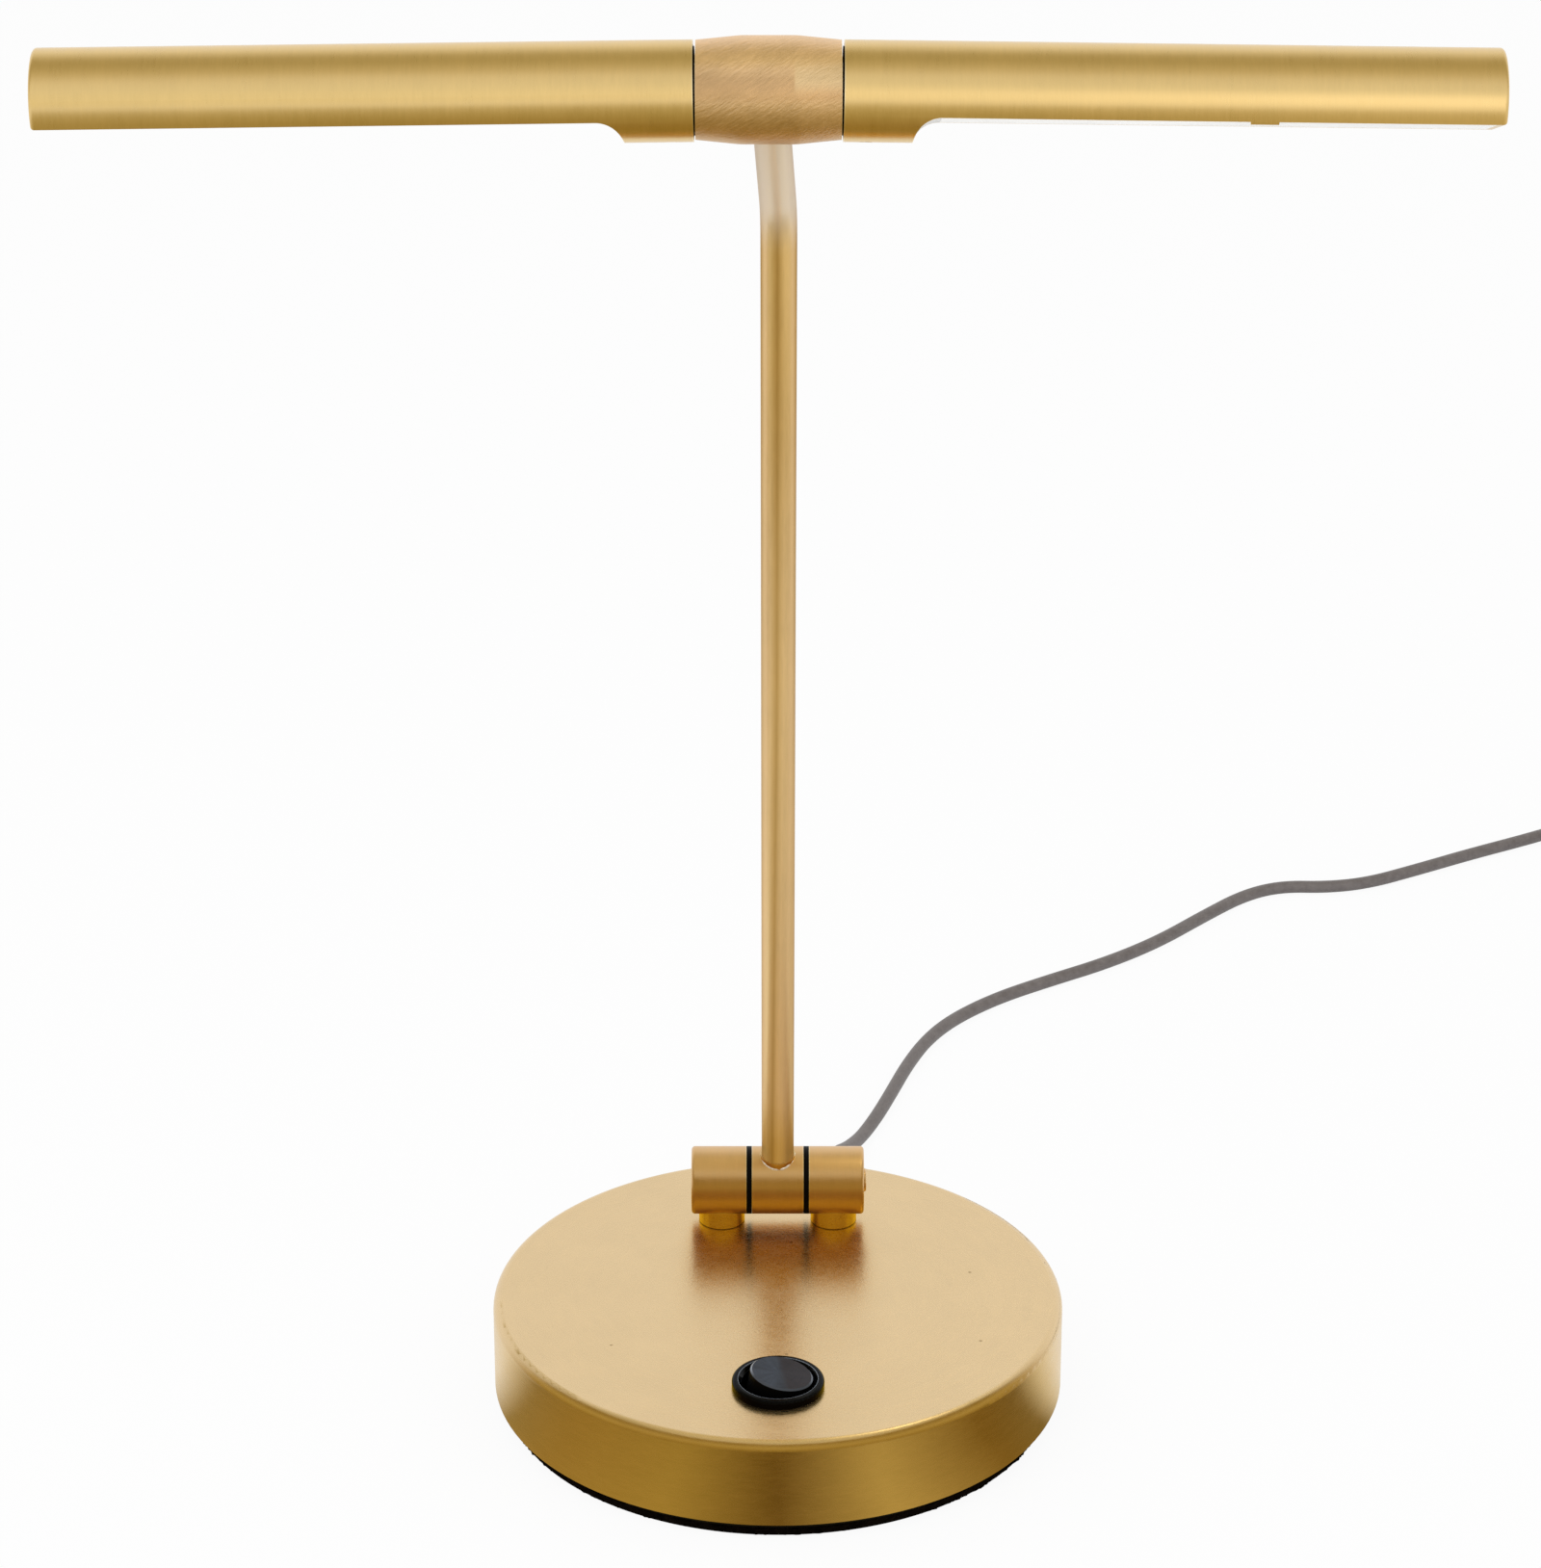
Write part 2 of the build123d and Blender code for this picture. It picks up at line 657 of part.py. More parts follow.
with BuildPart() as post_nuts:
    with BuildSketch(Plane.XY.offset(deck_underside - post_washer_thickness - post_nut_thickness)):
        with Locations((-post_distance, hinge_setback), (post_distance, hinge_setback)):
            RegularPolygon(post_nut_flats / 2, 6, major_radius=False)
            Circle(post_stud_diameter / 2 + snug_fit, mode=Mode.SUBTRACT)
    extrude(amount=post_nut_thickness)
write(post_nuts, "post_nuts")

sleeve_end = barrel_end - barrel_end_wall - running_fit
with BuildPart() as hinge_sleeve:
    with BuildSketch(hinge_plane(1, -sleeve_end)):
        Circle(sleeve_radius)
        Circle(sleeve_bore / 2, mode=Mode.SUBTRACT)
    extrude(amount=2 * sleeve_end)
    with BuildSketch(hinge_plane(1, -sleeve_window_length / 2)):
        with Locations((0, sleeve_diameter / 2)):
            Rectangle(sleeve_diameter, sleeve_diameter)
    extrude(amount=sleeve_window_length, mode=Mode.SUBTRACT)
    with BuildSketch(Plane(origin=hinge_centre, z_dir=(0, 0, -1))):
        with Locations((-post_distance, 0), (post_distance, 0)):
            Circle(post_wire_bore / 2)
    extrude(amount=sleeve_diameter, mode=Mode.SUBTRACT)
write(hinge_sleeve, "hinge_sleeve")

head_start = barrel_end + hinge_bolt_head_proud - hinge_bolt_head_height
with BuildPart() as hinge_bolt:
    with BuildSketch(hinge_plane(1, head_start)):
        Circle(hinge_bolt_head_diameter / 2)
    extrude(amount=hinge_bolt_head_height)
    fillet(hinge_bolt.faces().sort_by(Axis.X)[-1].edges(), hinge_bolt_head_edge)
    with BuildSketch(hinge_plane(1, head_start + hinge_bolt_head_height / 2)):
        RegularPolygon(hinge_bolt_socket / 2, 6, major_radius=False)
    extrude(amount=hinge_bolt_head_height, mode=Mode.SUBTRACT)
    with BuildSketch(hinge_plane(1, hinge_bolt_end_gap - barrel_end)):
        Circle(hinge_bolt_diameter / 2)
    extrude(amount=barrel_end - hinge_bolt_end_gap + head_start)
write(hinge_bolt, "hinge_bolt")

with BuildPart() as hinge_spring_washer:
    with BuildSketch(hinge_plane(1, head_start - hinge_spring_thickness)):
        Circle(hinge_bolt_head_diameter / 2)
        Circle(hinge_bolt_diameter / 2 + snug_fit, mode=Mode.SUBTRACT)
    extrude(amount=hinge_spring_thickness)
write(hinge_spring_washer, "hinge_spring_washer")

# ---------------------------------------------------------------- arm

with BuildPart() as arm_knuckle:
    with BuildSketch(hinge_plane(1, -knuckle_width / 2)):
        Circle(hinge_radius)
    extrude(amount=knuckle_width)
    with BuildSketch(arm_plane):
        Circle(arm_radius + braze_width)
    extrude(amount=hinge_radius + braze_height, taper=braze_taper)
    with BuildSketch(hinge_plane(1, -knuckle_width / 2)):
        Circle(sleeve_radius + running_fit)
    extrude(amount=knuckle_width, mode=Mode.SUBTRACT)
    with BuildSketch(arm_plane):
        Circle(arm_radius + snug_fit)
    extrude(amount=hinge_diameter, mode=Mode.SUBTRACT)
write(arm_knuckle, "arm_knuckle")

arm_start = arm_plane.from_local_coords(Vector(0, 0, sleeve_radius + arm_root_gap))
arm_end = hub_centre - upper_axis * (hub_radius - arm_seat_depth)

with BuildPart() as arm_tube:
    with BuildLine() as arm_path:
        FilletPolyline(arm_start, bend_point, arm_end, radius=bend_radius)
    with BuildSketch(Plane(origin=arm_start, z_dir=arm_plane.z_dir)):
        Circle(arm_radius)
        Circle(arm_radius - arm_wall, mode=Mode.SUBTRACT)
    sweep()
write(arm_tube, "arm_tube")

with BuildPart() as arm_cable:
    with BuildLine():
        FilletPolyline(arm_start, bend_point, arm_end, radius=bend_radius)
    with BuildSketch(Plane(origin=arm_start, z_dir=arm_plane.z_dir)):
        Circle(arm_cable_diameter / 2)
    sweep()
write(arm_cable, "arm_cable")

# ---------------------------------------------------------------- hub

with BuildPart() as hub:
    with BuildSketch(Plane(origin=hub_centre, x_dir=(1, 0, 0), z_dir=(0, -1, 0))) as hub_profile:
        with BuildLine():
            Polyline(
                (-hub_length / 2, 0),
                (-hub_length / 2, hub_end_radius),
                (-hub_flat_length / 2, hub_radius),
                (hub_flat_length / 2, hub_radius),
                (hub_length / 2, hub_end_radius),
                (hub_length / 2, 0),
                close=True,
            )
        make_face()
        fillet(hub_profile.vertices().group_by(Axis.Y)[-1], hub_edge_radius)
    revolve(axis=Axis(hub_centre, (1, 0, 0)))
    for side, _ in SIDES:
        with BuildSketch(light_plane(side, 0)):
            Circle(spindle_shank_diameter / 2 + snug_fit)
        extrude(amount=hub_length, mode=Mode.SUBTRACT)
    with BuildSketch(Plane(origin=hub_centre, z_dir=-upper_axis)):
        Circle(arm_radius + snug_fit)
    extrude(amount=hub_length, mode=Mode.SUBTRACT)
write(hub, "hub")

for side, side_name in SIDES:
    outward, up = light_axes(side)

    with BuildPart() as hub_spindle:
        with BuildSketch(light_plane(side, spindle_start - spindle_shank_length)):
            Circle(spindle_shank_diameter / 2)
        extrude(amount=spindle_shank_length)
        with BuildSketch(light_plane(side, spindle_start)):
            Circle(spindle_radius)
        extrude(amount=spindle_length)
        with BuildSketch(light_plane(side, spindle_start - spindle_shank_length)):
            Circle(spindle_bore / 2)
        extrude(amount=spindle_shank_length + spindle_length, mode=Mode.SUBTRACT)
        groove_edge = up.rotate(Axis((0, 0, 0), outward), (360 - groove_arc) / 2)
        with BuildSketch(Plane(origin=hub_centre, x_dir=outward, z_dir=outward.cross(groove_edge))):
            with Locations((light_screw_distance, spindle_radius)):
                Rectangle(groove_width, 2 * groove_depth)
        revolve(axis=Axis(hub_centre, outward), revolution_arc=groove_arc, mode=Mode.SUBTRACT)
    write(hub_spindle, f"hub_spindle_{side_name}")

    with BuildPart() as glide_washer:
        with BuildSketch(light_plane(side, tube_start - running_fit - glide_washer_thickness)):
            Circle(tube_radius - glide_washer_inset)
            Circle(spindle_radius + snug_fit, mode=Mode.SUBTRACT)
        extrude(amount=glide_washer_thickness)
    write(glide_washer, f"glide_washer_{side_name}")

# ---------------------------------------------------------------- light tubes

for side, side_name in SIDES:
    with BuildPart() as light_tube:
        with BuildSketch(light_plane(side, tube_start)):
            Circle(tube_radius)
            Circle(tube_bore_radius, mode=Mode.SUBTRACT)
        extrude(amount=tube_end - tube_start)
        extrude(opening_profile(side), amount=tube_diameter, both=True, mode=Mode.SUBTRACT)
        with BuildSketch(light_plane(side, tongue_distance)):
            Circle(tube_radius)
            Circle(tube_bore_radius, mode=Mode.SUBTRACT)
            with Locations((-tube_radius / 2, -flat_offset - tongue_drop / 2)):
                Rectangle(tube_radius, tongue_drop, mode=Mode.INTERSECT)
        extrude(amount=tongue_length)
        with BuildSketch(light_down_plane(side, light_screw_distance)):
            Circle(light_screw_diameter / 2 + snug_fit)
        extrude(amount=tube_diameter, mode=Mode.SUBTRACT)
    write(light_tube, f"light_tube_{side_name}")

    with BuildPart() as pivot_socket:
        with BuildSketch(light_plane(side, tube_start)):
            Circle(insert_radius)
        extrude(amount=opening_start - tube_start)
        extrude(opening_profile(side), amount=tube_diameter, both=True, mode=Mode.SUBTRACT)
        with BuildSketch(light_plane(side, tube_start)):
            Circle(spindle_radius + running_fit)
        extrude(amount=spindle_end - tube_start + socket_end_clearance, mode=Mode.SUBTRACT)
        with BuildSketch(light_plane(side, tube_start)):
            Circle(socket_wire_bore / 2)
        extrude(amount=opening_start, mode=Mode.SUBTRACT)
        with BuildSketch(light_down_plane(side, light_screw_distance)):
            Circle(light_screw_diameter / 2 + snug_fit)
        extrude(amount=tube_diameter, mode=Mode.SUBTRACT)
    write(pivot_socket, f"pivot_socket_{side_name}")

    screw_bottom = tube_radius - light_screw_recess
    thread_top = spindle_radius + light_screw_shoulder_gap
    point_top = spindle_radius - groove_depth + light_screw_point_gap
    screw_plane = light_down_plane(side, light_screw_distance)
    with BuildPart() as light_screw:
        with BuildSketch(screw_plane.offset(thread_top)):
            Circle(light_screw_diameter / 2)
        extrude(amount=screw_bottom - thread_top)
        with BuildSketch(screw_plane.offset(point_top)):
            Circle(light_screw_point_diameter / 2)
        extrude(amount=thread_top - point_top)
        with BuildSketch(screw_plane.offset(screw_bottom)):
            RegularPolygon(light_screw_socket / 2, 6, major_radius=False)
        extrude(amount=-light_screw_socket, mode=Mode.SUBTRACT)
    write(light_screw, f"light_screw_{side_name}")

    with BuildPart() as led_carrier:
        with BuildSketch(light_plane(side, carrier_start)):
            add(disc_above(insert_radius, diffuser_top))
            add(disc_above(insert_radius - carrier_wall, carrier_web), mode=Mode.SUBTRACT)
            with Locations((0, -flat_offset / 2)):
                Rectangle(led_board_width + 2 * led_channel_gap, flat_offset, mode=Mode.SUBTRACT)
        extrude(amount=carrier_end - carrier_start)
    write(led_carrier, f"led_carrier_{side_name}")

    with BuildPart() as led_board:
        with BuildSketch(light_plane(side, carrier_start + led_board_end_gap)):
            with Locations((0, -led_board_thickness / 2)):
                Rectangle(led_board_width, led_board_thickness)
        extrude(amount=led_board_length)
    write(led_board, f"led_board_{side_name}")

    with BuildPart() as led_chips:
        board_plane = light_down_plane(side, (carrier_start + carrier_end) / 2)
        board_face = board_plane.offset(led_board_thickness)
        with BuildSketch(board_face):
            with GridLocations(led_pitch, 0, led_count, 1):
                Rectangle(led_size[0], led_size[1])
        extrude(amount=led_size[2])
    write(led_chips, f"led_chips_{side_name}")

    with BuildPart() as diffuser:
        with BuildSketch(light_plane(side, opening_start)):
            add(disc_above(insert_radius, -flat_offset))
            add(disc_above(tube_radius, diffuser_top), mode=Mode.SUBTRACT)
        extrude(amount=tube_end - opening_start)
    write(diffuser, f"diffuser_{side_name}")

    with BuildPart() as end_cap:
        with BuildSketch(light_plane(side, tube_end)):
            add(disc_above(tube_radius, -flat_offset))
        extrude(amount=end_cap_thickness)
        cap_face = end_cap.faces().sort_by(Axis.X)[-1 if side > 0 else 0]
        fillet(cap_face.edges(), end_cap_edge_radius)
        with BuildSketch(light_plane(side, tube_end)):
            add(disc_above(insert_radius, diffuser_top + snug_fit))
        extrude(amount=-end_cap_spigot)
    write(end_cap, f"end_cap_{side_name}")

# ---------------------------------------------------------------- cord

cord_rest = cord_diameter / 2
gland_side = gland_direction.cross(Vector(0, 0, 1))
gland_section = Plane(origin=gland_centre, x_dir=gland_direction, z_dir=gland_side)

with BuildPart() as cord_gland:
    with BuildSketch(gland_section):
        with BuildLine():
            Polyline(
                (-shell_wall - gland_neck_length, 0),
                (-shell_wall - gland_neck_length, gland_neck_diameter / 2),
                (0, gland_neck_diameter / 2),
                (0, gland_flange_diameter / 2),
                (gland_flange_thickness, gland_flange_diameter / 2),
                (gland_flange_thickness, gland_root_diameter / 2),
                (gland_flange_thickness + gland_length, gland_tip_diameter / 2),
                (gland_flange_thickness + gland_length, 0),
                close=True,
            )
        make_face()
        rib_pitch = gland_length / (gland_rib_count + 1)
        with Locations((gland_flange_thickness + gland_length / 2, gland_root_diameter / 2)):
            with GridLocations(rib_pitch, 0, gland_rib_count, 1):
                Rectangle(
                    gland_rib_width,
                    gland_root_diameter - gland_tip_diameter + 2 * gland_rib_depth,
                    mode=Mode.SUBTRACT,
                )
    revolve(axis=Axis(gland_centre, gland_direction))
    with BuildSketch(Plane(origin=gland_centre, z_dir=gland_direction)):
        Circle(gland_tip_diameter / 2 - gland_core_step)
    extrude(amount=gland_flange_thickness + gland_length)
write(cord_gland, "cord_gland")

with BuildPart() as gland_clip:
    wall_at_clip = sqrt((base_radius - shell_wall) ** 2 - (gland_clip_diameter / 2) ** 2)
    clip_centre = gland_direction * (wall_at_clip - gland_clip_gap) + Vector(0, 0, gland_height)
    with BuildSketch(Plane(origin=clip_centre, z_dir=-gland_direction)):
        Circle(gland_clip_diameter / 2)
        Circle(gland_neck_diameter / 2 + snug_fit, mode=Mode.SUBTRACT)
    extrude(amount=gland_clip_thickness)
write(gland_clip, "gland_clip")

floor_line = cord_rest + cord_floor_gap
cord_route = [
    tuple(gland_tip),
    tuple(gland_tip + gland_direction * cord_lead),
    (17.2, 115.0, 8.4),
    (20.2, 124.6, 4.4),
    (24.2, 135.6, floor_line),
    (29.0, 148.6, floor_line),
    (33.6, 163.8, floor_line),
    (38.4, 180.4, floor_line),
    (44.6, 196.8, floor_line),
    (53.0, 210.6, floor_line),
    (66.5, 224.6, floor_line),
    (83.0, 236.6, floor_line),
    (101.5, 249.0, floor_line),
    (118.5, 264.0, floor_line),
    (134.0, 282.2, floor_line),
    (148.0, 297.6, floor_line),
    (160.5, 304.3, floor_line),
    (175.0, 303.6, floor_line),
    (188.5, 306.9, floor_line),
    (205.0, 316.8, floor_line),
    (224.0, 328.8, floor_line),
    (241.0, 338.6, floor_line),
    (253.5, 346.4, floor_line),
    (264.8, 354.6, floor_line),
]
adapter_face = adapter_middle[1] + adapter_length / 2
tail_route = [
    (319.2, 322.5, 5.3),
    (319.6, 312.5, 4.2),
    (320.3, 302.0, 2.6),
    (320.9, 291.5, 2.5),
    (321.1, 281.0, 4.6),
    (adapter_middle[0], 270.6, adapter_cord_height),
    (adapter_middle[0], adapter_face + adapter_relief_length, adapter_cord_height),
]
for route, label in ((cord_route, "power_cord"), (tail_route, "cord_tail")):
    radii = corner_radii(route)
    with BuildPart() as cord_run:
        with BuildLine() as cord_line:
            FilletPolyline(*route, radius=radii)
        with BuildSketch(Plane(origin=cord_line.line @ 0, z_dir=cord_line.line % 0)):
            Circle(cord_rest)
        sweep()
    write(cord_run, label)
    length = sum(edge.length for edge in cord_line.line.edges())
    print(label, "radii", [round(radius, 1) for radius in radii])
    ratio = cord_run.part.volume / (pi * cord_rest**2 * length)
    print(label, "length", round(length, 1), "volume over section times length", round(ratio, 4))

coil_width = coil_turns_wide * cord_diameter
coil_height = cord_diameter * (1 + coil_layer_rise)
with BuildPart() as cord_coil:
    with BuildSketch(Plane(origin=(*coil_centre, 0), x_dir=(1, 0, 0), z_dir=(0, -1, 0))):
        with Locations((coil_mean_diameter / 2, coil_height / 2)):
            RectangleRounded(coil_width, coil_height, cord_rest)
    revolve(axis=Axis((*coil_centre, 0), (0, 0, 1)))
write(cord_coil, "cord_coil")
coiled = pi * coil_mean_diameter * (2 * coil_turns_wide - 1)
print("coiled length", round(coiled, 1))

adapter_plane = Plane(origin=(*adapter_middle, 0))
with BuildPart() as adapter_body:
    with BuildSketch(adapter_plane):
        RectangleRounded(adapter_width, adapter_length, adapter_corner_radius)
    extrude(amount=adapter_height)
    fillet(adapter_body.faces().sort_by(Axis.Z)[-1].edges(), adapter_edge_radius)
    with BuildSketch(adapter_plane.offset(adapter_height)):
        with Locations((0, -adapter_boss_setback)):
            SlotOverall(adapter_boss_size[0] - 2 * adapter_edge_radius, adapter_boss_size[1])
    extrude(amount=adapter_boss_height)
    relief_origin = (adapter_middle[0], adapter_face, adapter_cord_height)
    with BuildSketch(Plane(origin=relief_origin, z_dir=(0, 1, 0))):
        Circle(adapter_relief_root / 2)
    with BuildSketch(Plane(origin=relief_origin, z_dir=(0, 1, 0)).offset(adapter_relief_length)):
        Circle(adapter_relief_tip / 2)
    loft()
write(adapter_body, "adapter_body")

with BuildPart() as adapter_pins:
    with BuildSketch(adapter_plane.offset(adapter_height + adapter_boss_height)):
        with Locations((0, -adapter_boss_setback)):
            with GridLocations(pin_spacing, 0, 2, 1):
                Circle(pin_diameter / 2)
    extrude(amount=pin_length)
    fillet(adapter_pins.edges().group_by(Axis.Z)[-1], pin_tip_radius)
write(adapter_pins, "adapter_pins")
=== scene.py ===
from math import cos, pi, radians, sin, sqrt

import bmesh
import bpy
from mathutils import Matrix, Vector, noise


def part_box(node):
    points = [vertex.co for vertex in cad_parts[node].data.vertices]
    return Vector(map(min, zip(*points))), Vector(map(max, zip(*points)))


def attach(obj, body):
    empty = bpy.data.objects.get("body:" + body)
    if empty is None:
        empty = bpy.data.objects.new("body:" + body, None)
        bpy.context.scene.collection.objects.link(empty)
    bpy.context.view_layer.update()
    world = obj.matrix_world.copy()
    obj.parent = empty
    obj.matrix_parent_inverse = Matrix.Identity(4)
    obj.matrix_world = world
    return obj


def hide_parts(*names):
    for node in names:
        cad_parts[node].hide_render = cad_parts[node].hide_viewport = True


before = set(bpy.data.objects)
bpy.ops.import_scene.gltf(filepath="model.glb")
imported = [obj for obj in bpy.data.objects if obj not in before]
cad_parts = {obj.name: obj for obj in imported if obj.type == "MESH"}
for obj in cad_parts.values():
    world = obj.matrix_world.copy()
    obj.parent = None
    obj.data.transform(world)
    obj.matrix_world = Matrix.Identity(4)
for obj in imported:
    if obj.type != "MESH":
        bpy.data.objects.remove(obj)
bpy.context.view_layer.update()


def middle_of(node):
    """The middle of a node's box."""
    return tuple((low + high) / 2 for low, high in zip(*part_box(node)))


def half_size(node):
    """Half of each side of a node's box."""
    return tuple((high - low) / 2 for low, high in zip(*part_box(node)))


def new_object(name, data):
    """An object with that data, in the scene."""
    made = bpy.data.objects.new(name, data)
    bpy.context.scene.collection.objects.link(made)
    return made


# ---------------------------------------------------------------- camera

LENS_MM = 117.0
CAMERA_PLACE = (-0.00191, -1.13596, 0.68171)
CAMERA_PITCH_DEG = 24.094  # below the horizon

camera_data = bpy.data.cameras.new("camera")
camera_data.lens = LENS_MM
camera_data.sensor_fit = "HORIZONTAL"
camera_data.clip_start = 0.01
camera = new_object("camera", camera_data)
camera.location = CAMERA_PLACE
camera.rotation_euler = (radians(90 - CAMERA_PITCH_DEG), 0, 0)
bpy.context.scene.camera = camera
bpy.context.scene.view_settings.view_transform = "Standard"


# ---------------------------------------------------------------- cord

CORD_DIAMETER = 0.0039
FLOOR_LINE = 0.0020  # the height of the cord's middle where it lies on the table
COIL_CENTRE = Vector((0.2900, 0.3350, 0))
COIL_MEAN_RADIUS = 0.0234
COIL_PITCH = CORD_DIAMETER * 1.02  # the width of a layer for each turn after its first
COIL_LAYERS = (5, 4)  # turns side by side in the lower and the upper layer
COIL_LAYER_RISE = 0.87 * CORD_DIAMETER
COIL_SHORT = 0.5  # the lower layer ends this many turns early
COIL_CLIMB = 0.25  # and the cord climbs during this share of the upper one
COIL_ENTRY_DEG = 126.0  # where the cord comes in, counted from +X
POINTS_PER_TURN = 16

CORD_ROUTE = [
    (0.01358, 0.09665, 0.0110),
    (0.01484, 0.10556, 0.0110),
    (0.0172, 0.1150, 0.0084),
    (0.0202, 0.1246, 0.0044),
    (0.0242, 0.1356, FLOOR_LINE),
    (0.0290, 0.1486, FLOOR_LINE),
    (0.0336, 0.1638, FLOOR_LINE),
    (0.0384, 0.1804, FLOOR_LINE),
    (0.0446, 0.1968, FLOOR_LINE),
    (0.0530, 0.2106, FLOOR_LINE),
    (0.0665, 0.2246, FLOOR_LINE),
    (0.0830, 0.2366, FLOOR_LINE),
    (0.1015, 0.2490, FLOOR_LINE),
    (0.1185, 0.2640, FLOOR_LINE),
    (0.1340, 0.2822, FLOOR_LINE),
    (0.1480, 0.2976, FLOOR_LINE),
    (0.1605, 0.3043, FLOOR_LINE),
    (0.1750, 0.3036, FLOOR_LINE),
    (0.1885, 0.3069, FLOOR_LINE),
    (0.2050, 0.3168, FLOOR_LINE),
    (0.2240, 0.3288, FLOOR_LINE),
    (0.2410, 0.3386, FLOOR_LINE),
    (0.2535, 0.3464, FLOOR_LINE),
    (0.2648, 0.3546, FLOOR_LINE),
]
TAIL_ROUTE = [
    (0.3192, 0.3225, 0.0053),
    (0.3196, 0.3125, 0.0042),
    (0.3203, 0.3020, 0.0026),
    (0.3209, 0.2915, 0.0025),
    (0.3211, 0.2810, 0.0046),
    (0.3210, 0.2706, 0.0070),
    (0.3210, 0.2605, 0.0070),
]


def coil_points():
    """The coil's turns, clockwise from above: inward below, then outward in the upper layer."""
    lower, upper = COIL_LAYERS
    outer = COIL_MEAN_RADIUS + COIL_PITCH * (lower - 1) / 2
    inner = COIL_MEAN_RADIUS - COIL_PITCH * (lower - 1) / 2
    upper_outer = COIL_MEAN_RADIUS + COIL_PITCH * (upper - 1) / 2
    lower_steps = int((lower - COIL_SHORT) * POINTS_PER_TURN)
    turns = lower + upper - 1 + COIL_ENTRY_DEG / 360  # so that it ends near +X
    total_steps = round(turns * POINTS_PER_TURN)
    points = []
    for step in range(total_steps + 1):
        angle = radians(COIL_ENTRY_DEG) - 2 * pi * step / POINTS_PER_TURN
        if step <= lower_steps:
            part = step / lower_steps
            radius = outer + (inner - outer) * part
            height = FLOOR_LINE
        else:
            part = (step - lower_steps) / (total_steps - lower_steps)
            radius = inner + (upper_outer - inner) * part
            height = FLOOR_LINE + COIL_LAYER_RISE * min(1, part / COIL_CLIMB)
        points.append(COIL_CENTRE + Vector((radius * cos(angle), radius * sin(angle), height)))
    return points


def spline_curve(name, points, radius):
    """A tube of that radius whose line is a smooth spline with these control points.

    The points carry the radius themselves, because Blender adds it to them for the curve's box."""
    data = bpy.data.curves.new(name, "CURVE")
    data.dimensions = "3D"
    data.bevel_depth = 1.0
    data.bevel_resolution = 5
    data.resolution_u = 8
    data.use_fill_caps = True
    spline = data.splines.new("NURBS")
    spline.points.add(len(points) - 1)
    for target, point in zip(spline.points, points):
        target.co = (*point, 1)
        target.radius = radius
    spline.order_u = 3
    spline.use_endpoint_u = True
    return new_object(name, data)


def line_length(points):
    """Length of the spline with these control points."""
    probe = spline_curve("probe", points, 0)
    length = probe.data.splines[0].calc_length(resolution=16)
    bpy.data.objects.remove(probe)
    return length


cord_points = [Vector(point) for point in CORD_ROUTE]
cord_points += coil_points()
cord_points += [Vector(point) for point in TAIL_ROUTE]
CORD_LENGTH = line_length(cord_points)
flex = spline_curve("flex", cord_points, CORD_DIAMETER / 2)
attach(flex, "foot")
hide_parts("power_cord", "cord_coil", "cord_tail")


# ---------------------------------------------------------------- node helpers

NOISE_RANGE = (0.3, 0.7)  # where nearly all of a noise's values lie
SMOOTH_NORMALS = 0.997  # two normals that agree this well are on a smooth surface


def times(values, factor):
    return tuple(value * factor for value in values)


def around(colour, tone):
    """A darker and a lighter colour, that share of the colour away from it."""
    return times(colour, 1 - tone), times(colour, 1 + tone)


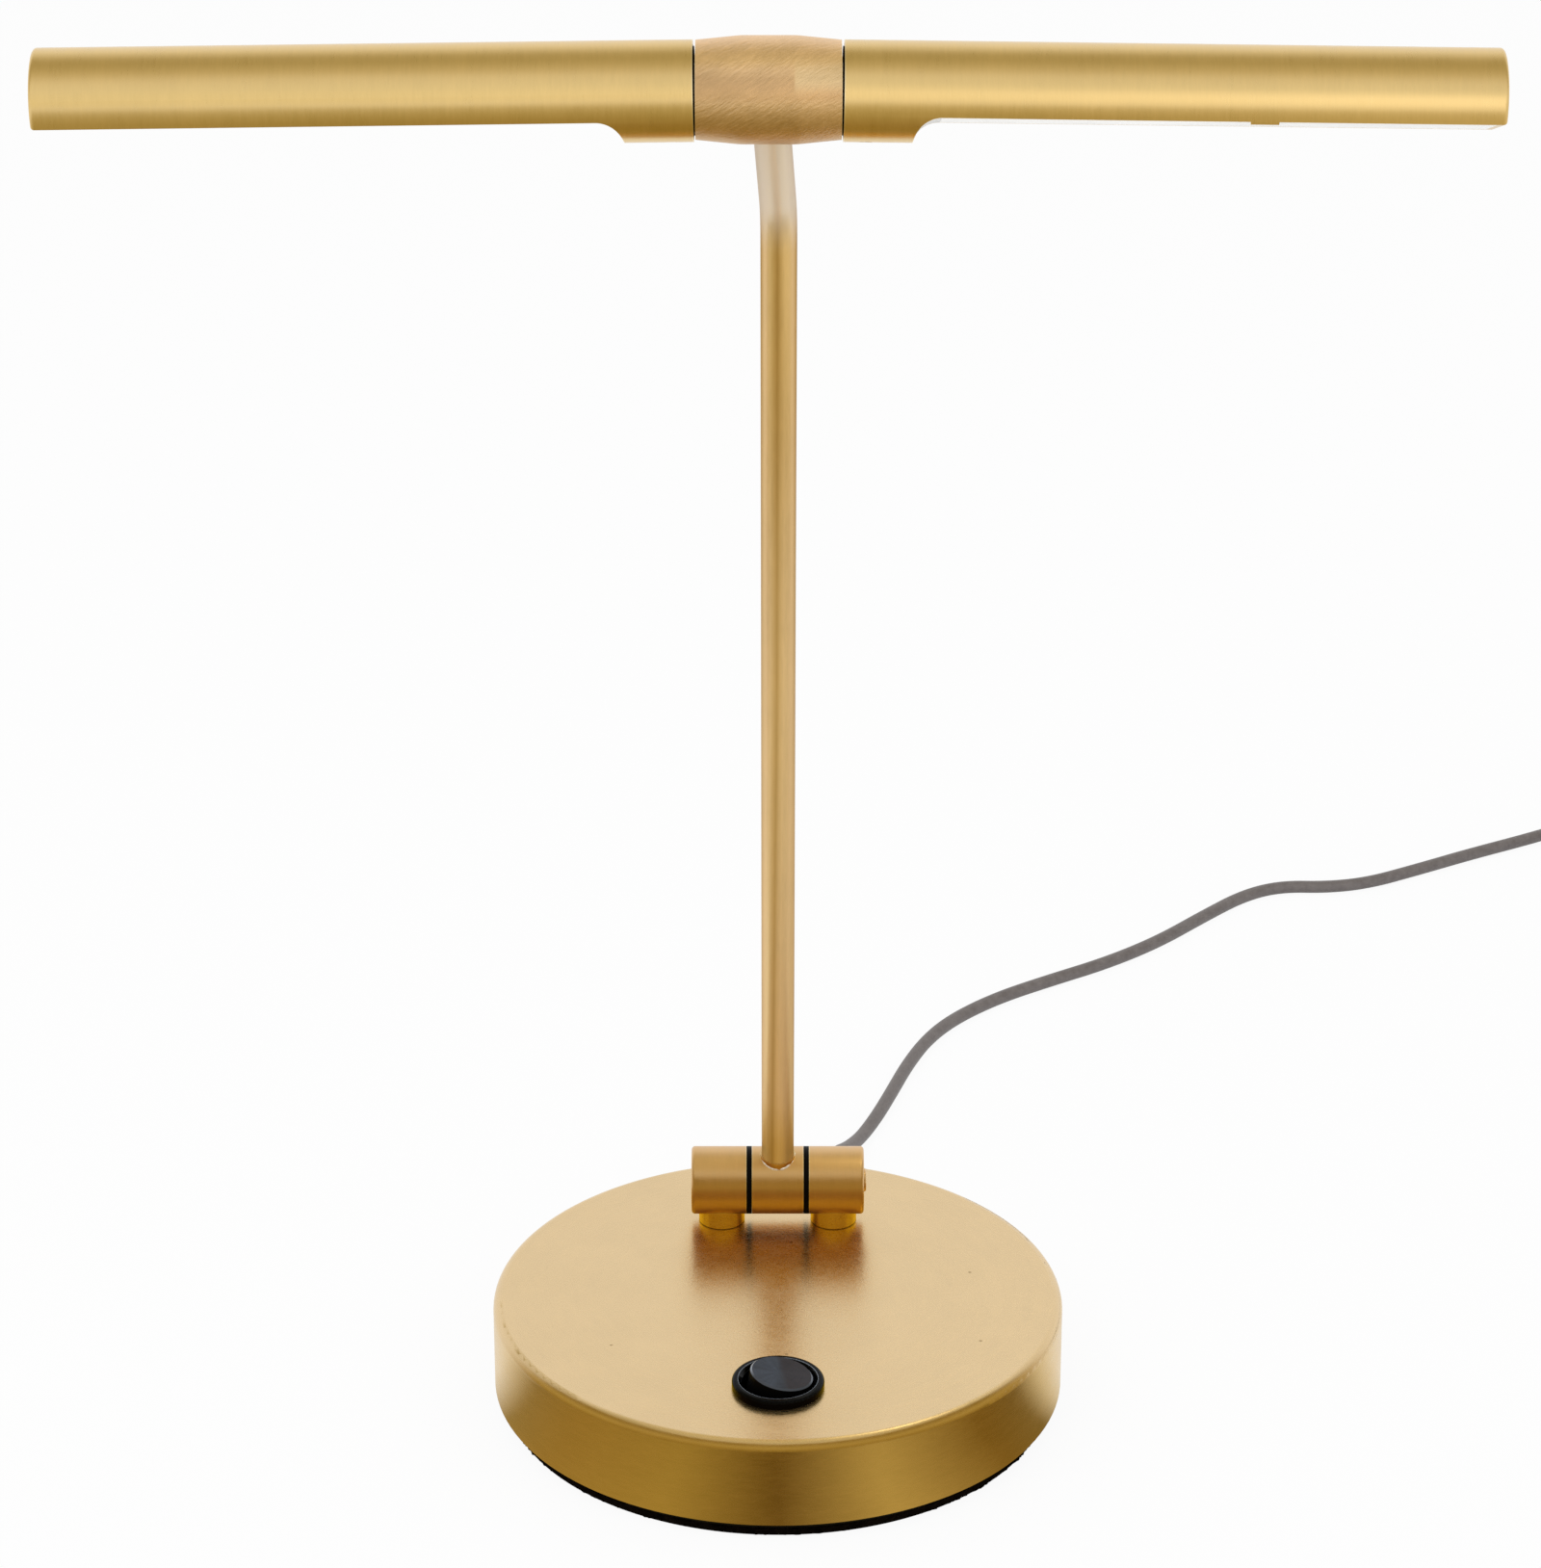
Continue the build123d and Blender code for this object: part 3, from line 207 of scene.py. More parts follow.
class Nodes:
    """Short calls for the nodes of one node tree."""

    def __init__(self, tree):
        self.tree = tree
        tree.nodes.clear()

    def add(self, kind, **settings):
        node = self.tree.nodes.new(kind)
        for key, value in settings.items():
            setattr(node, key, value)
        return node

    def link(self, source, target):
        self.tree.links.new(source, target)

    def feed(self, socket, value):
        """Sets a socket to a number or a colour, or links it."""
        if isinstance(value, bpy.types.NodeSocket):
            self.link(value, socket)
        elif isinstance(value, tuple) and socket.type == "RGBA":
            socket.default_value = (*value, 1)
        else:
            socket.default_value = value

    def fed(self, node, *values):
        """The node, with its inputs set or linked in their order."""
        for socket, value in zip(node.inputs, values):
            self.feed(socket, value)
        return node

    def math(self, operation, *values):
        return self.fed(self.add("ShaderNodeMath", operation=operation), *values).outputs[0]

    def product(self, value, *factors):
        for factor in factors:
            value = self.math("MULTIPLY", value, factor)
        return value

    def weighed(self, first, share, second):
        """The sum of that share of the first value and the rest of the second."""
        return self.math("ADD", self.product(first, share), self.product(second, 1 - share))

    def vector_math(self, operation, *values):
        """The number that the operation on vectors gives."""
        node = self.add("ShaderNodeVectorMath", operation=operation)
        return self.fed(node, *values).outputs["Value"]

    def length(self, *values):
        """The length of the vector with these parts."""
        return self.vector_math("LENGTH", self.joined(*values))

    def split(self, vector):
        return tuple(self.fed(self.add("ShaderNodeSeparateXYZ"), vector).outputs)

    def joined(self, *values):
        return self.fed(self.add("ShaderNodeCombineXYZ"), *values).outputs[0]

    def spread(self, value, low, high, start=NOISE_RANGE[0], end=NOISE_RANGE[1], smooth=False):
        """Goes from low to high as the value goes from start to end, and stays there outside."""
        kind = "SMOOTHSTEP" if smooth else "LINEAR"
        node = self.add("ShaderNodeMapRange", interpolation_type=kind)
        for name, number in (
            ("From Min", start),
            ("From Max", end),
            ("To Min", low),
            ("To Max", high),
        ):
            node.inputs[name].default_value = number
        self.link(value, node.inputs["Value"])
        return node.outputs["Result"]

    def ramp(self, value, *stops):
        node = self.add("ShaderNodeValToRGB")
        elements = node.color_ramp.elements
        while len(elements) < len(stops):
            elements.new(1.0)
        for element, (position, colour) in zip(elements, stops):
            element.position = position
            element.color = (*colour, 1)
        self.link(value, node.inputs["Fac"])
        return node.outputs["Color"]

    def two_tone(self, value, colours, ends=NOISE_RANGE):
        """From one colour to the other as the value goes from end to end."""
        return self.ramp(value, *zip(ends, colours))

    def mix(self, factor, under, over, blend="MIX"):
        """Mixes two colours."""
        node = self.add("ShaderNodeMix", data_type="RGBA", blend_type=blend)
        factor_socket, under_socket, over_socket = (node.inputs[place] for place in (0, 6, 7))
        self.feed(factor_socket, factor)
        self.feed(under_socket, under)
        self.feed(over_socket, over)
        return node.outputs[2]

    def either(self, factor, first, second):
        """Mixes two shaders."""
        return self.fed(self.add("ShaderNodeMixShader"), factor, first, second).outputs[0]

    def glow(self, colour):
        return self.fed(self.add("ShaderNodeEmission"), colour).outputs[0]


class Shader(Nodes):
    """A piece's material, with the lamp's own coordinates and one Principled surface."""

    def __init__(self, name):
        self.material = bpy.data.materials.new(name)
        self.material.use_nodes = True
        super().__init__(self.material.node_tree)
        self.surface = self.add("ShaderNodeBsdfPrincipled")
        output = self.add("ShaderNodeOutputMaterial")
        self.link(self.surface.outputs["BSDF"], output.inputs["Surface"])

    def set(self, **values):
        for key, value in values.items():
            self.surface.inputs[key.replace("_", " ")].default_value = value

    def to(self, value, socket):
        self.link(value, self.surface.inputs[socket])

    def place(self):
        """Position in the lamp's frame, in metres."""
        return self.add("ShaderNodeTexCoord").outputs["Object"]

    def height(self):
        return self.split(self.place())[2]

    def mapped(self, vector, **settings):
        """The vector through a Scale, a Rotation and a Location."""
        node = self.add("ShaderNodeMapping")
        for name, value in settings.items():
            node.inputs[name].default_value = value
        self.link(vector, node.inputs["Vector"])
        return node.outputs["Vector"]

    def from_middle(self, vector, node):
        """The vector as measured from the middle of a node's box."""
        return self.mapped(vector, Location=times(middle_of(node), -1))

    def facing(self, direction):
        """How nearly the surface faces a direction of the piece's frame: 1 is straight at it."""
        normal = self.add("ShaderNodeTexCoord").outputs["Normal"]
        return self.vector_math("DOT_PRODUCT", normal, direction)

    def around_z(self, vector):
        """(radius, angle, height) about the Z axis."""
        x, y, z = self.split(vector)
        radius = self.math("SQRT", self.math("ADD", self.product(x, x), self.product(y, y)))
        return self.joined(radius, self.math("ARCTAN2", y, x), z)

    def noise(self, vector, detail=4.0, rough=0.6, scale=1.0):
        node = self.add("ShaderNodeTexNoise")
        node.inputs["Scale"].default_value = scale
        node.inputs["Detail"].default_value = detail
        node.inputs["Roughness"].default_value = rough
        self.link(vector, node.inputs["Vector"])
        return node.outputs["Fac"]

    def edges(self, radius, sharp=0.90):
        """1 on a piece's sharp edges, and 0 away from them. A larger sharp takes in blunt ones."""
        rounded = self.add("ShaderNodeBevel", samples=6)
        rounded.inputs["Radius"].default_value = radius
        flat = self.add("ShaderNodeNewGeometry")
        same = self.vector_math("DOT_PRODUCT", rounded.outputs["Normal"], flat.outputs["Normal"])
        return self.spread(same, 1, 0, sharp, SMOOTH_NORMALS)

    def overlay(self, factor, colour, blend="MIX"):
        """Mixes a colour over the base colour."""
        under = self.surface.inputs["Base Color"].links[0].from_socket
        self.to(self.mix(factor, under, colour, blend), "Base Color")

    def bump(self, height, strength, distance):
        node = self.add("ShaderNodeBump")
        node.inputs["Strength"].default_value = strength
        node.inputs["Distance"].default_value = distance
        self.link(height, node.inputs["Height"])
        self.to(node.outputs["Normal"], "Normal")

    def turned_about(self, axis, stretch):
        """Stretches the highlights as the fine grooves of turning about that axis do."""
        self.set(Anisotropic=stretch, Anisotropic_Rotation=0.25)
        tangent = self.add("ShaderNodeTangent", direction_type="RADIAL", axis=axis)
        self.to(tangent.outputs["Tangent"], "Tangent")


# ---------------------------------------------------------------- metals

TUBE_GOLD = (0.760, 0.550, 0.245)
DECK_GOLD = (0.745, 0.560, 0.320)
ARM_GOLD = (0.935, 0.685, 0.350)
POST_GOLD = (0.930, 0.705, 0.190)
HINGE_ROSE = (0.700, 0.460, 0.225)
HUB_ROSE = (0.930, 0.650, 0.365)
WORN_AND_HIGHLIGHT_BRASS = (0.98, 0.86, 0.60)
SOLDER_PALE = (0.90, 0.83, 0.72)
EDGE_RADIUS = 0.00048  # how wide the pale line on a sharp edge is: partly rubbed brass, partly a painted highlight
BROAD_SCALE = 0.22  # the broad strokes' count beside that of the fine ones
BROAD_SHIFT = (3.1, 1.7, 2.3)  # keeps them off the fine ones
FINE_SHARE = 0.6  # of the scratches; the broad strokes make the rest
SCRATCH_SHARE = 0.75  # of the tone; soft clouds make the rest
CLOUD_SCALE = 60.0
SMOOTHER, ROUGHER = 0.045, 0.055  # how far the scratches take the roughness each way
LATHE_STRETCH = 0.5


def brushed(
    name,
    colour,
    strokes,
    roughness,
    tone=0.05,
    bump=0.12,
    depth=0.00008,
    vector=None,
    wear_and_highlight=0.0,
    highlight_within=None,
    lathe=None,
):
    """Satin metal with brush strokes. strokes is their count per metre along the vector's axes.

    tone is how far they take the colour each way, and bump and depth are the strength and depth of
    their grooves. wear is the strength of the pale line on the edges, which stands partly for
    rubbed brass and partly for a painted highlight; highlight_within, where it is given, keeps
    that line to the edges no further than that from the lamp's middle. lathe is the axis that the
    piece was turned about."""
    shader = Shader(name)
    place = shader.place()
    way = vector(shader, place) if vector else place
    fine = shader.noise(shader.mapped(way, Scale=strokes), detail=3.0, rough=0.65)
    broad_way = shader.mapped(way, Scale=times(strokes, BROAD_SCALE), Location=BROAD_SHIFT)
    broad = shader.noise(broad_way, detail=2.0)
    clouds = shader.noise(place, detail=2.0, scale=CLOUD_SCALE)
    scratches = shader.weighed(fine, FINE_SHARE, broad)
    stain = shader.weighed(scratches, SCRATCH_SHARE, clouds)
    shader.to(shader.two_tone(stain, around(colour, tone)), "Base Color")
    shader.to(shader.spread(scratches, roughness - SMOOTHER, roughness + ROUGHER), "Roughness")
    shader.set(Metallic=1.0)
    # pale line on sharp edges: partly rubbed brass, partly a painted highlight
    if wear_and_highlight:
        painted_light = shader.product(shader.edges(EDGE_RADIUS), wear_and_highlight)
        if highlight_within:
            off = shader.math("ABSOLUTE", shader.split(place)[0])
            painted_light = shader.product(painted_light, shader.math("LESS_THAN", off, highlight_within))
        shader.overlay(painted_light, WORN_AND_HIGHLIGHT_BRASS)
    if lathe:
        shader.turned_about(lathe, LATHE_STRETCH)
    shader.bump(scratches, bump, depth)
    return shader


DECK_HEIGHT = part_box("base_shell")[1][2]


def above_deck(*heights):
    return tuple(DECK_HEIGHT + height for height in heights)


SPECK_CELLS = 42.0  # cells per metre, some with a speck
SPECK_SHARE = 0.22  # of the cells
SPECK_SIZE = 0.034  # its radius in cells, times a noise
SPECK_STRENGTH = 0.55
SPECK_COLOUR = (0.22, 0.13, 0.04)
SPECK_LOWEST = -0.0002  # above the deck, so that the wall has none
WALL_PAINTED_SHADE = (0.98, 0.93, 0.70)  # painted shade: the wall is painted a little deeper in tone than the deck
WALL_TOP = (-0.0030, -0.0008)  # above the deck: the painted shade fades out between these heights


def shell_brass():
    """The foot's spun cover: rings of fine strokes, a few dark specks on the flat top, and painted
    shade on its wall and the lower part of its rim.
    """
    rings = (1700, 22, 1700)
    shader = brushed(
        "brass_shell", DECK_GOLD, rings, 0.27, tone=0.065, bump=0.45, vector=Shader.around_z
    )
    place = shader.place()
    height = shader.split(place)[2]
    cells = shader.add("ShaderNodeTexVoronoi", voronoi_dimensions="2D")
    cells.inputs["Scale"].default_value = SPECK_CELLS
    shader.link(place, cells.inputs["Vector"])
    size = shader.product(shader.noise(place, detail=2.0, scale=900.0), SPECK_SIZE)
    near = shader.math("LESS_THAN", cells.outputs["Distance"], size)
    chosen = shader.math("LESS_THAN", shader.split(cells.outputs["Color"])[0], SPECK_SHARE)
    flat = shader.math("GREATER_THAN", height, *above_deck(SPECK_LOWEST))
    shader.overlay(shader.product(near, chosen, flat, SPECK_STRENGTH), SPECK_COLOUR)
    # painted shade on the wall and the lower part of the rounded rim
    painted_wall_shade = shader.spread(height, 1, 0, *above_deck(*WALL_TOP), smooth=True)
    shader.overlay(painted_wall_shade, WALL_PAINTED_SHADE, "MULTIPLY")
    return shader


ARM_RADIUS = 0.00425
ARM_LEAN_DEG = 14.5
ARM_MIRROR = (0.46, 0.82)  # it is duller at the bottom, and more like a mirror near the bend
MIRROR_HEIGHTS = (0.20, 0.31)
GLARE_HEIGHTS = (0.322, 0.338)  # painted light: it is painted paler above this bend
PAINTED_GLARE = (0.88, 0.79, 0.67)
GLARE_STRENGTH = 0.75
GLARE_DULLNESS = 0.40  # how much less of a mirror it is there
ROOT_HEIGHTS = (0.052, 0.074)  # it is a darker, deeper olive below these heights, towards its root
ROOT_TINT = (0.86, 0.80, 0.50)
ARM_EDGE = (0.32, 0.21, 0.11, 1)  # what the metal tends to at its outline
# Painted reflection: two paler stripes along the tube with a darker band between. Stops go by the
# place across it, in radii.
ARM_PAINTED_STRIPES = [
    (-1.00, (0.66, 0.62, 0.58)),
    (-0.80, (0.76, 0.72, 0.70)),
    (-0.58, (0.93, 0.89, 0.92)),
    (-0.36, (1.00, 1.00, 1.00)),
    (-0.17, (0.84, 0.79, 0.66)),
    (0.02, (0.68, 0.59, 0.38)),
    (0.20, (0.90, 0.87, 0.76)),
    (0.40, (1.00, 1.00, 1.00)),
    (0.62, (0.96, 0.95, 0.96)),
    (0.85, (0.82, 0.77, 0.76)),
    (1.00, (0.72, 0.66, 0.60)),
]
PAINTED_STRIPE_STRENGTH = 0.90
STRIPE_DRIFT = (-0.12, 0.14)  # they run a little to the right between these heights
DRIFT_HEIGHTS = (0.06, 0.20)


def arm_brass():
    """Drawn tube with strokes along it, dulled by lacquer, with two stripes of painted reflection
    along it and painted pale light above the bend.
    """

    def along(shader, place):
        return shader.mapped(place, Rotation=(radians(-ARM_LEAN_DEG), 0, 0))

    strokes = (1900, 1900, 150)
    shader = brushed("brass_arm", ARM_GOLD, strokes, 0.35, tone=0.075, bump=0.16, vector=along)
    x, _, height = shader.split(shader.place())
    middle = middle_of("arm_tube")[0]
    drift = [middle + ARM_RADIUS * share for share in STRIPE_DRIFT]
    across = shader.math("SUBTRACT", x, shader.spread(height, *drift, *DRIFT_HEIGHTS))
    # painted reflection: stripes along the tube, multiplied over its colour
    stops = [((place + 1) / 2, tint) for place, tint in ARM_PAINTED_STRIPES]
    painted_stripes = shader.ramp(shader.spread(across, 0, 1, -ARM_RADIUS, ARM_RADIUS), *stops)
    shader.overlay(PAINTED_STRIPE_STRENGTH, painted_stripes, "MULTIPLY")
    # painted light: the tube is painted paler above the bend
    glare = shader.spread(height, 0, 1, *GLARE_HEIGHTS, smooth=True)
    shader.overlay(shader.product(glare, GLARE_STRENGTH), PAINTED_GLARE)
    root = shader.spread(height, 1, 0, *ROOT_HEIGHTS, smooth=True)
    shader.overlay(root, ROOT_TINT, "MULTIPLY")
    shader.set(Specular_IOR_Level=0.10, Specular_Tint=ARM_EDGE)
    mirror = shader.spread(height, *ARM_MIRROR, *MIRROR_HEIGHTS, smooth=True)
    shader.to(shader.math("SUBTRACT", mirror, shader.product(glare, GLARE_DULLNESS)), "Metallic")
    return shader


HIGHLIGHT_WITHIN = 0.05  # only the tubes' inner ends, which carry the painted edge highlight, are nearer than this to the lamp's middle


def tube_brass():
    """Tubes turned on a lathe, with a pale line on the edges of their inner ends only, partly
    rubbed brass and partly a painted highlight.
    """
    strokes = (1500, 230, 230)
    return brushed(
        "brass_tube", TUBE_GOLD, strokes, 0.30,
        tone=0.060, bump=0.45, wear_and_highlight=0.8, highlight_within=HIGHLIGHT_WITHIN, lathe="X",
    )


HUB_RADIUS = half_size("hub")[2]
STROKE_SLANT_DEG = -38.0  # from the hub's own axis
# Painted shade: the hub's front is painted duller and deeper than its top. Stops go by the height
# in radii above the middle.
HUB_PAINTED_SHADE = [
    (0.00, (0.76, 0.74, 0.72)),
    (0.12, (0.68, 0.63, 0.58)),
    (0.34, (0.64, 0.59, 0.55)),
    (0.47, (0.67, 0.63, 0.60)),
    (0.62, (0.90, 0.89, 0.92)),
    (0.74, (1.00, 1.00, 1.00)),
    (0.95, (0.94, 0.94, 1.00)),
]
# A paler patch at the right of the hub. Its places are measured from the hub's middle.
PATCH_START = (0.0054, 0.0060)  # it begins between these places at the right
PATCH_HEIGHT = 0.0058
PATCH_SPREAD = (0.0006, 0.0042)  # it fades between these distances above and below that height
PATCH_BACK = (-0.004, 0.0)  # and towards the back
PATCH_STRENGTH = 0.42
PATCH_COLOUR = (0.90, 0.72, 0.43)


def hub_brass():
    """The hub is finished by hand, with slanting strokes; painted shade makes its front duller
    than its top, and a paler patch lies at its right.
    """

    def slanting(shader, place):
        """(place along X, place round the girth, 0), turned by the strokes' slant."""
        x, y, z = shader.split(shader.from_middle(place, "hub"))
        girth = shader.product(shader.math("ARCTAN2", y, z), HUB_RADIUS)
        return shader.mapped(shader.joined(x, girth), Rotation=(0, 0, radians(STROKE_SLANT_DEG)))

    shader = brushed(
        "brass_hub", HUB_ROSE, (430, 1500, 1), 0.40,
        tone=0.16, bump=1.0, depth=0.00024, vector=slanting, wear_and_highlight=0.5,
    )
    x, y, z = shader.split(shader.from_middle(shader.place(), "hub"))
    # painted shade: darker on the hub's front, lightest on its top
    painted_light = shader.ramp(shader.math("DIVIDE", z, HUB_RADIUS), *HUB_PAINTED_SHADE)
    shader.overlay(1.0, painted_light, "MULTIPLY")
    side = shader.spread(x, 0, 1, *PATCH_START)
    level = shader.math("ABSOLUTE", shader.math("SUBTRACT", z, PATCH_HEIGHT))
    middle = shader.spread(level, 1, 0, *PATCH_SPREAD, smooth=True)
    front = shader.spread(y, 1, 0, *PATCH_BACK, smooth=True)
    shader.overlay(shader.product(side, middle, front, PATCH_STRENGTH), PATCH_COLOUR)
    return shader


POST_LINE = (0.00012, 0.0003)  # the line fades between these heights above the deck
POST_LINE_STRENGTH = 0.85
POST_LINE_COLOUR = (0.10, 0.045, 0.008)


def post_brass():
    """Turned posts, with the dark line of their joint with the deck."""
    strokes = (260, 260, 1500)
    shader = brushed("brass_post", POST_GOLD, strokes, 0.27, tone=0.035, bump=0.03, wear_and_highlight=0.3)
    line = shader.spread(shader.height(), 1, 0, *above_deck(*POST_LINE))
    shader.overlay(shader.product(line, POST_LINE_STRENGTH), POST_LINE_COLOUR)
    return shader


def solder():
    """Pale, uneven solder."""
    strokes = (1600, 1600, 1600)
    shader = brushed("solder", SOLDER_PALE, strokes, 0.34, tone=0.10, bump=0.3)
    shader.set(Metallic=0.35)
    return shader


# ---------------------------------------------------------------- plastics, felt and rubber

SMUDGE_SCALE = 45.0
SMUDGE_TONE = 0.15
SKIN_DEPTH = 0.00005


def plastic(name, colour, roughness, grain=900.0, bump=0.05, specular=0.5):
    """Moulded plastic with a fine skin texture."""
    shader = Shader(name)
    place = shader.place()
    skin = shader.noise(place, detail=3.0, scale=grain)
    smudge = shader.noise(place, detail=2.0, scale=SMUDGE_SCALE)
    shader.to(shader.two_tone(smudge, around(colour, SMUDGE_TONE)), "Base Color")
    shader.to(shader.spread(smudge, roughness - 0.03, roughness + 0.05), "Roughness")
    shader.set(Specular_IOR_Level=specular)
    shader.bump(skin, bump, SKIN_DEPTH)
    return shader


GLOSS_BLACK = (0.0009, 0.0010, 0.0013)
# painted highlight: the pale lines along the moulding's edges
GLOSS_EDGE_HIGHLIGHT = (0.25, 0.28, 0.32)
GLOSS_EDGE_RADIUS = 0.00034
GLOSS_EDGE_SHARP = 0.962
GLOSS_EDGE_STRENGTH = 0.9
GLOSS_EDGE_START = (0.0012, 0.0016)  # above the deck: only higher edges have the painted highlight


def switch_gloss():
    """Glossy black moulding, with fine pale highlights painted along its edges."""
    shader = plastic("switch_gloss", GLOSS_BLACK, 0.10, specular=0.06)
    start = above_deck(*GLOSS_EDGE_START)
    upper = shader.spread(shader.height(), 0, GLOSS_EDGE_STRENGTH, *start)
    line = shader.edges(GLOSS_EDGE_RADIUS, GLOSS_EDGE_SHARP)
    shader.overlay(shader.product(line, upper), GLOSS_EDGE_HIGHLIGHT)
    return shader


CAP_LEAN = radians(10.0)
CAP_FACE = (sin(CAP_LEAN), 0.0, cos(CAP_LEAN))  # where its flat face looks
CAP_BACK = (0.0, 1.0, 0.0)
CAP_PAINTED_SHEEN = ((0.056, 0.068, 0.088), (0.036, 0.030, 0.033))  # painted sheen, left and right of its middle
CAP_SHEEN_EDGE = (-0.0004, 0.0018)  # between these places one turns into the other
CAP_SHEEN_SLANT = 0.12  # how far that line leans to the side
CAP_RINGS = (0.012, 0.012, 0.014)
# painted sheen in wedges across the face
CAP_PAINTED_WEDGES = (0.016, 0.017, 0.021)
CAP_FLAT = (0.0010, 0.0010, 0.0013)
CAP_FLAT_FACING = (0.960, 0.996)  # it is that black where it faces as the flat face does
CAP_PAINTED_CREST = (0.40, 0.44, 0.50)  # painted highlight: the pale line where the flat face turns down
CREST_FACING = ((0.62, 0.72), (0.86, 0.94))  # the line lies between these two
CREST_STRENGTH = (0.16, 0.8)  # in front, and behind
CREST_BACK = (-0.35, 0.10)  # how nearly it faces the back where the one turns into the other


def turned_cap():
    """Black cap whose face is turned in fine rings, with the wedge-shaped sheen of such a face
    painted on, and a painted highlight along its crest.
    """
    shader = Shader("turned_cap")
    place = shader.from_middle(shader.place(), "switch_rocker")
    round_place = shader.around_z(place)
    rings = shader.noise(shader.mapped(round_place, Scale=(5200, 1.1, 0)), detail=3.0)
    wedges = shader.noise(shader.mapped(round_place, Scale=(60, 2.6, 0)), detail=2.0)
    x, y, _ = shader.split(place)
    lean = shader.math("ADD", x, shader.product(y, CAP_SHEEN_SLANT))
    side = shader.spread(lean, 0, 1, *CAP_SHEEN_EDGE, smooth=True)
    painted_sheen = shader.mix(side, *CAP_PAINTED_SHEEN)
    shader.to(shader.mix(shader.spread(rings, 0.0, 0.45), painted_sheen, CAP_RINGS), "Base Color")
    shader.overlay(shader.spread(wedges, 0.0, 0.55), CAP_PAINTED_WEDGES)
    look = shader.facing(CAP_FACE)
    shader.overlay(shader.spread(look, 1, 0, *CAP_FLAT_FACING, smooth=True), CAP_FLAT)
    # painted highlight along the crest, stronger behind
    begins, ends = CREST_FACING
    painted_crest = shader.product(shader.spread(look, 0, 1, *begins), shader.spread(look, 1, 0, *ends))
    behind = shader.spread(shader.facing(CAP_BACK), *CREST_STRENGTH, *CREST_BACK, smooth=True)
    shader.overlay(shader.product(painted_crest, behind), CAP_PAINTED_CREST)
    shader.to(shader.spread(rings, 0.26, 0.40), "Roughness")
    shader.set(Specular_IOR_Level=0.08)
    shader.turned_about("Z", 0.7)
    shader.bump(rings, 0.2, 0.00003)
    return shader


CORD_GREYS = ((0.125, 0.108, 0.105), (0.175, 0.155, 0.150))


def cord_rubber():
    """Dull grey rubber with a little dust."""
    shader = Shader("cord_rubber")
    dust = shader.noise(shader.place(), detail=4.0, scale=420.0)
    shader.to(shader.two_tone(dust, CORD_GREYS), "Base Color")
    shader.to(shader.spread(dust, 0.42, 0.55), "Roughness")
    shader.bump(dust, 0.12, 0.00008)
    return shader


FELT_BLACKS = ((0.0006, 0.0004, 0.0003), (0.010, 0.006, 0.004))


def felt():
    """Black felt, with a pile of fibres that lies in patches."""
    shader = Shader("felt")
    place = shader.place()
    fibre = shader.noise(place, detail=6.0, rough=0.75, scale=1400.0)
    patch = shader.noise(place, detail=3.0, scale=260.0)
    pile = shader.weighed(fibre, 0.6, patch)
    shader.to(shader.two_tone(pile, FELT_BLACKS, ends=(0.40, 0.68)), "Base Color")
    shader.set(Roughness=0.95, Specular_IOR_Level=0.05)
    shader.bump(pile, 0.9, 0.0004)
    return shader


OPAL_GREY = (0.60, 0.60, 0.59)
OPAL_PAINTED_GLOW = 0.33  # painted light: a glow that makes its thin line under the tube, which lies in shade, as white as the background


def opal():
    """The diffuser, with a faint painted glow that lightens it."""
    shader = plastic("opal", OPAL_GREY, 0.45)
    shader.set(Emission_Color=(1, 1, 1, 1), Emission_Strength=OPAL_PAINTED_GLOW)
    return shader


# ---------------------------------------------------------------- which piece has which material

SHADERS = {
    "shell": shell_brass(),
    "tube": tube_brass(),
    "arm": arm_brass(),
    "hinge": brushed(
        "brass_hinge", HINGE_ROSE, (1500, 260, 260), 0.36, tone=0.055, bump=0.30, wear_and_highlight=0.7
    ),
    "post": post_brass(),
    "hub": hub_brass(),
    "steel": brushed("steel", (0.56, 0.55, 0.54), (1500, 1500, 1500), 0.30),
    "aluminium": brushed("aluminium", (0.78, 0.78, 0.79), (3000, 200, 200), 0.38),
    "iron": brushed("iron", (0.20, 0.20, 0.20), (700, 700, 700), 0.6),
    "solder": solder(),
    "switch_gloss": switch_gloss(),
    "turned_cap": turned_cap(),
    "black_matte": plastic("black_matte", (0.0015, 0.0014, 0.0014), 0.5, specular=0.06),
    "plate": plastic("plate_paint", (0.004, 0.004, 0.004), 0.4, specular=0.2),
    "plug": plastic("plug_plastic", (0.030, 0.030, 0.031), 0.42, grain=2200.0, bump=0.2),
    "board": plastic("board_laminate", (0.02, 0.12, 0.05), 0.35),
    "led": plastic("led_phosphor", (0.80, 0.68, 0.25), 0.4),
    "opal": opal(),
    "white_plastic": plastic("white_plastic", (0.80, 0.80, 0.79), 0.40),
    "cord": cord_rubber(),
    "felt": felt(),
}

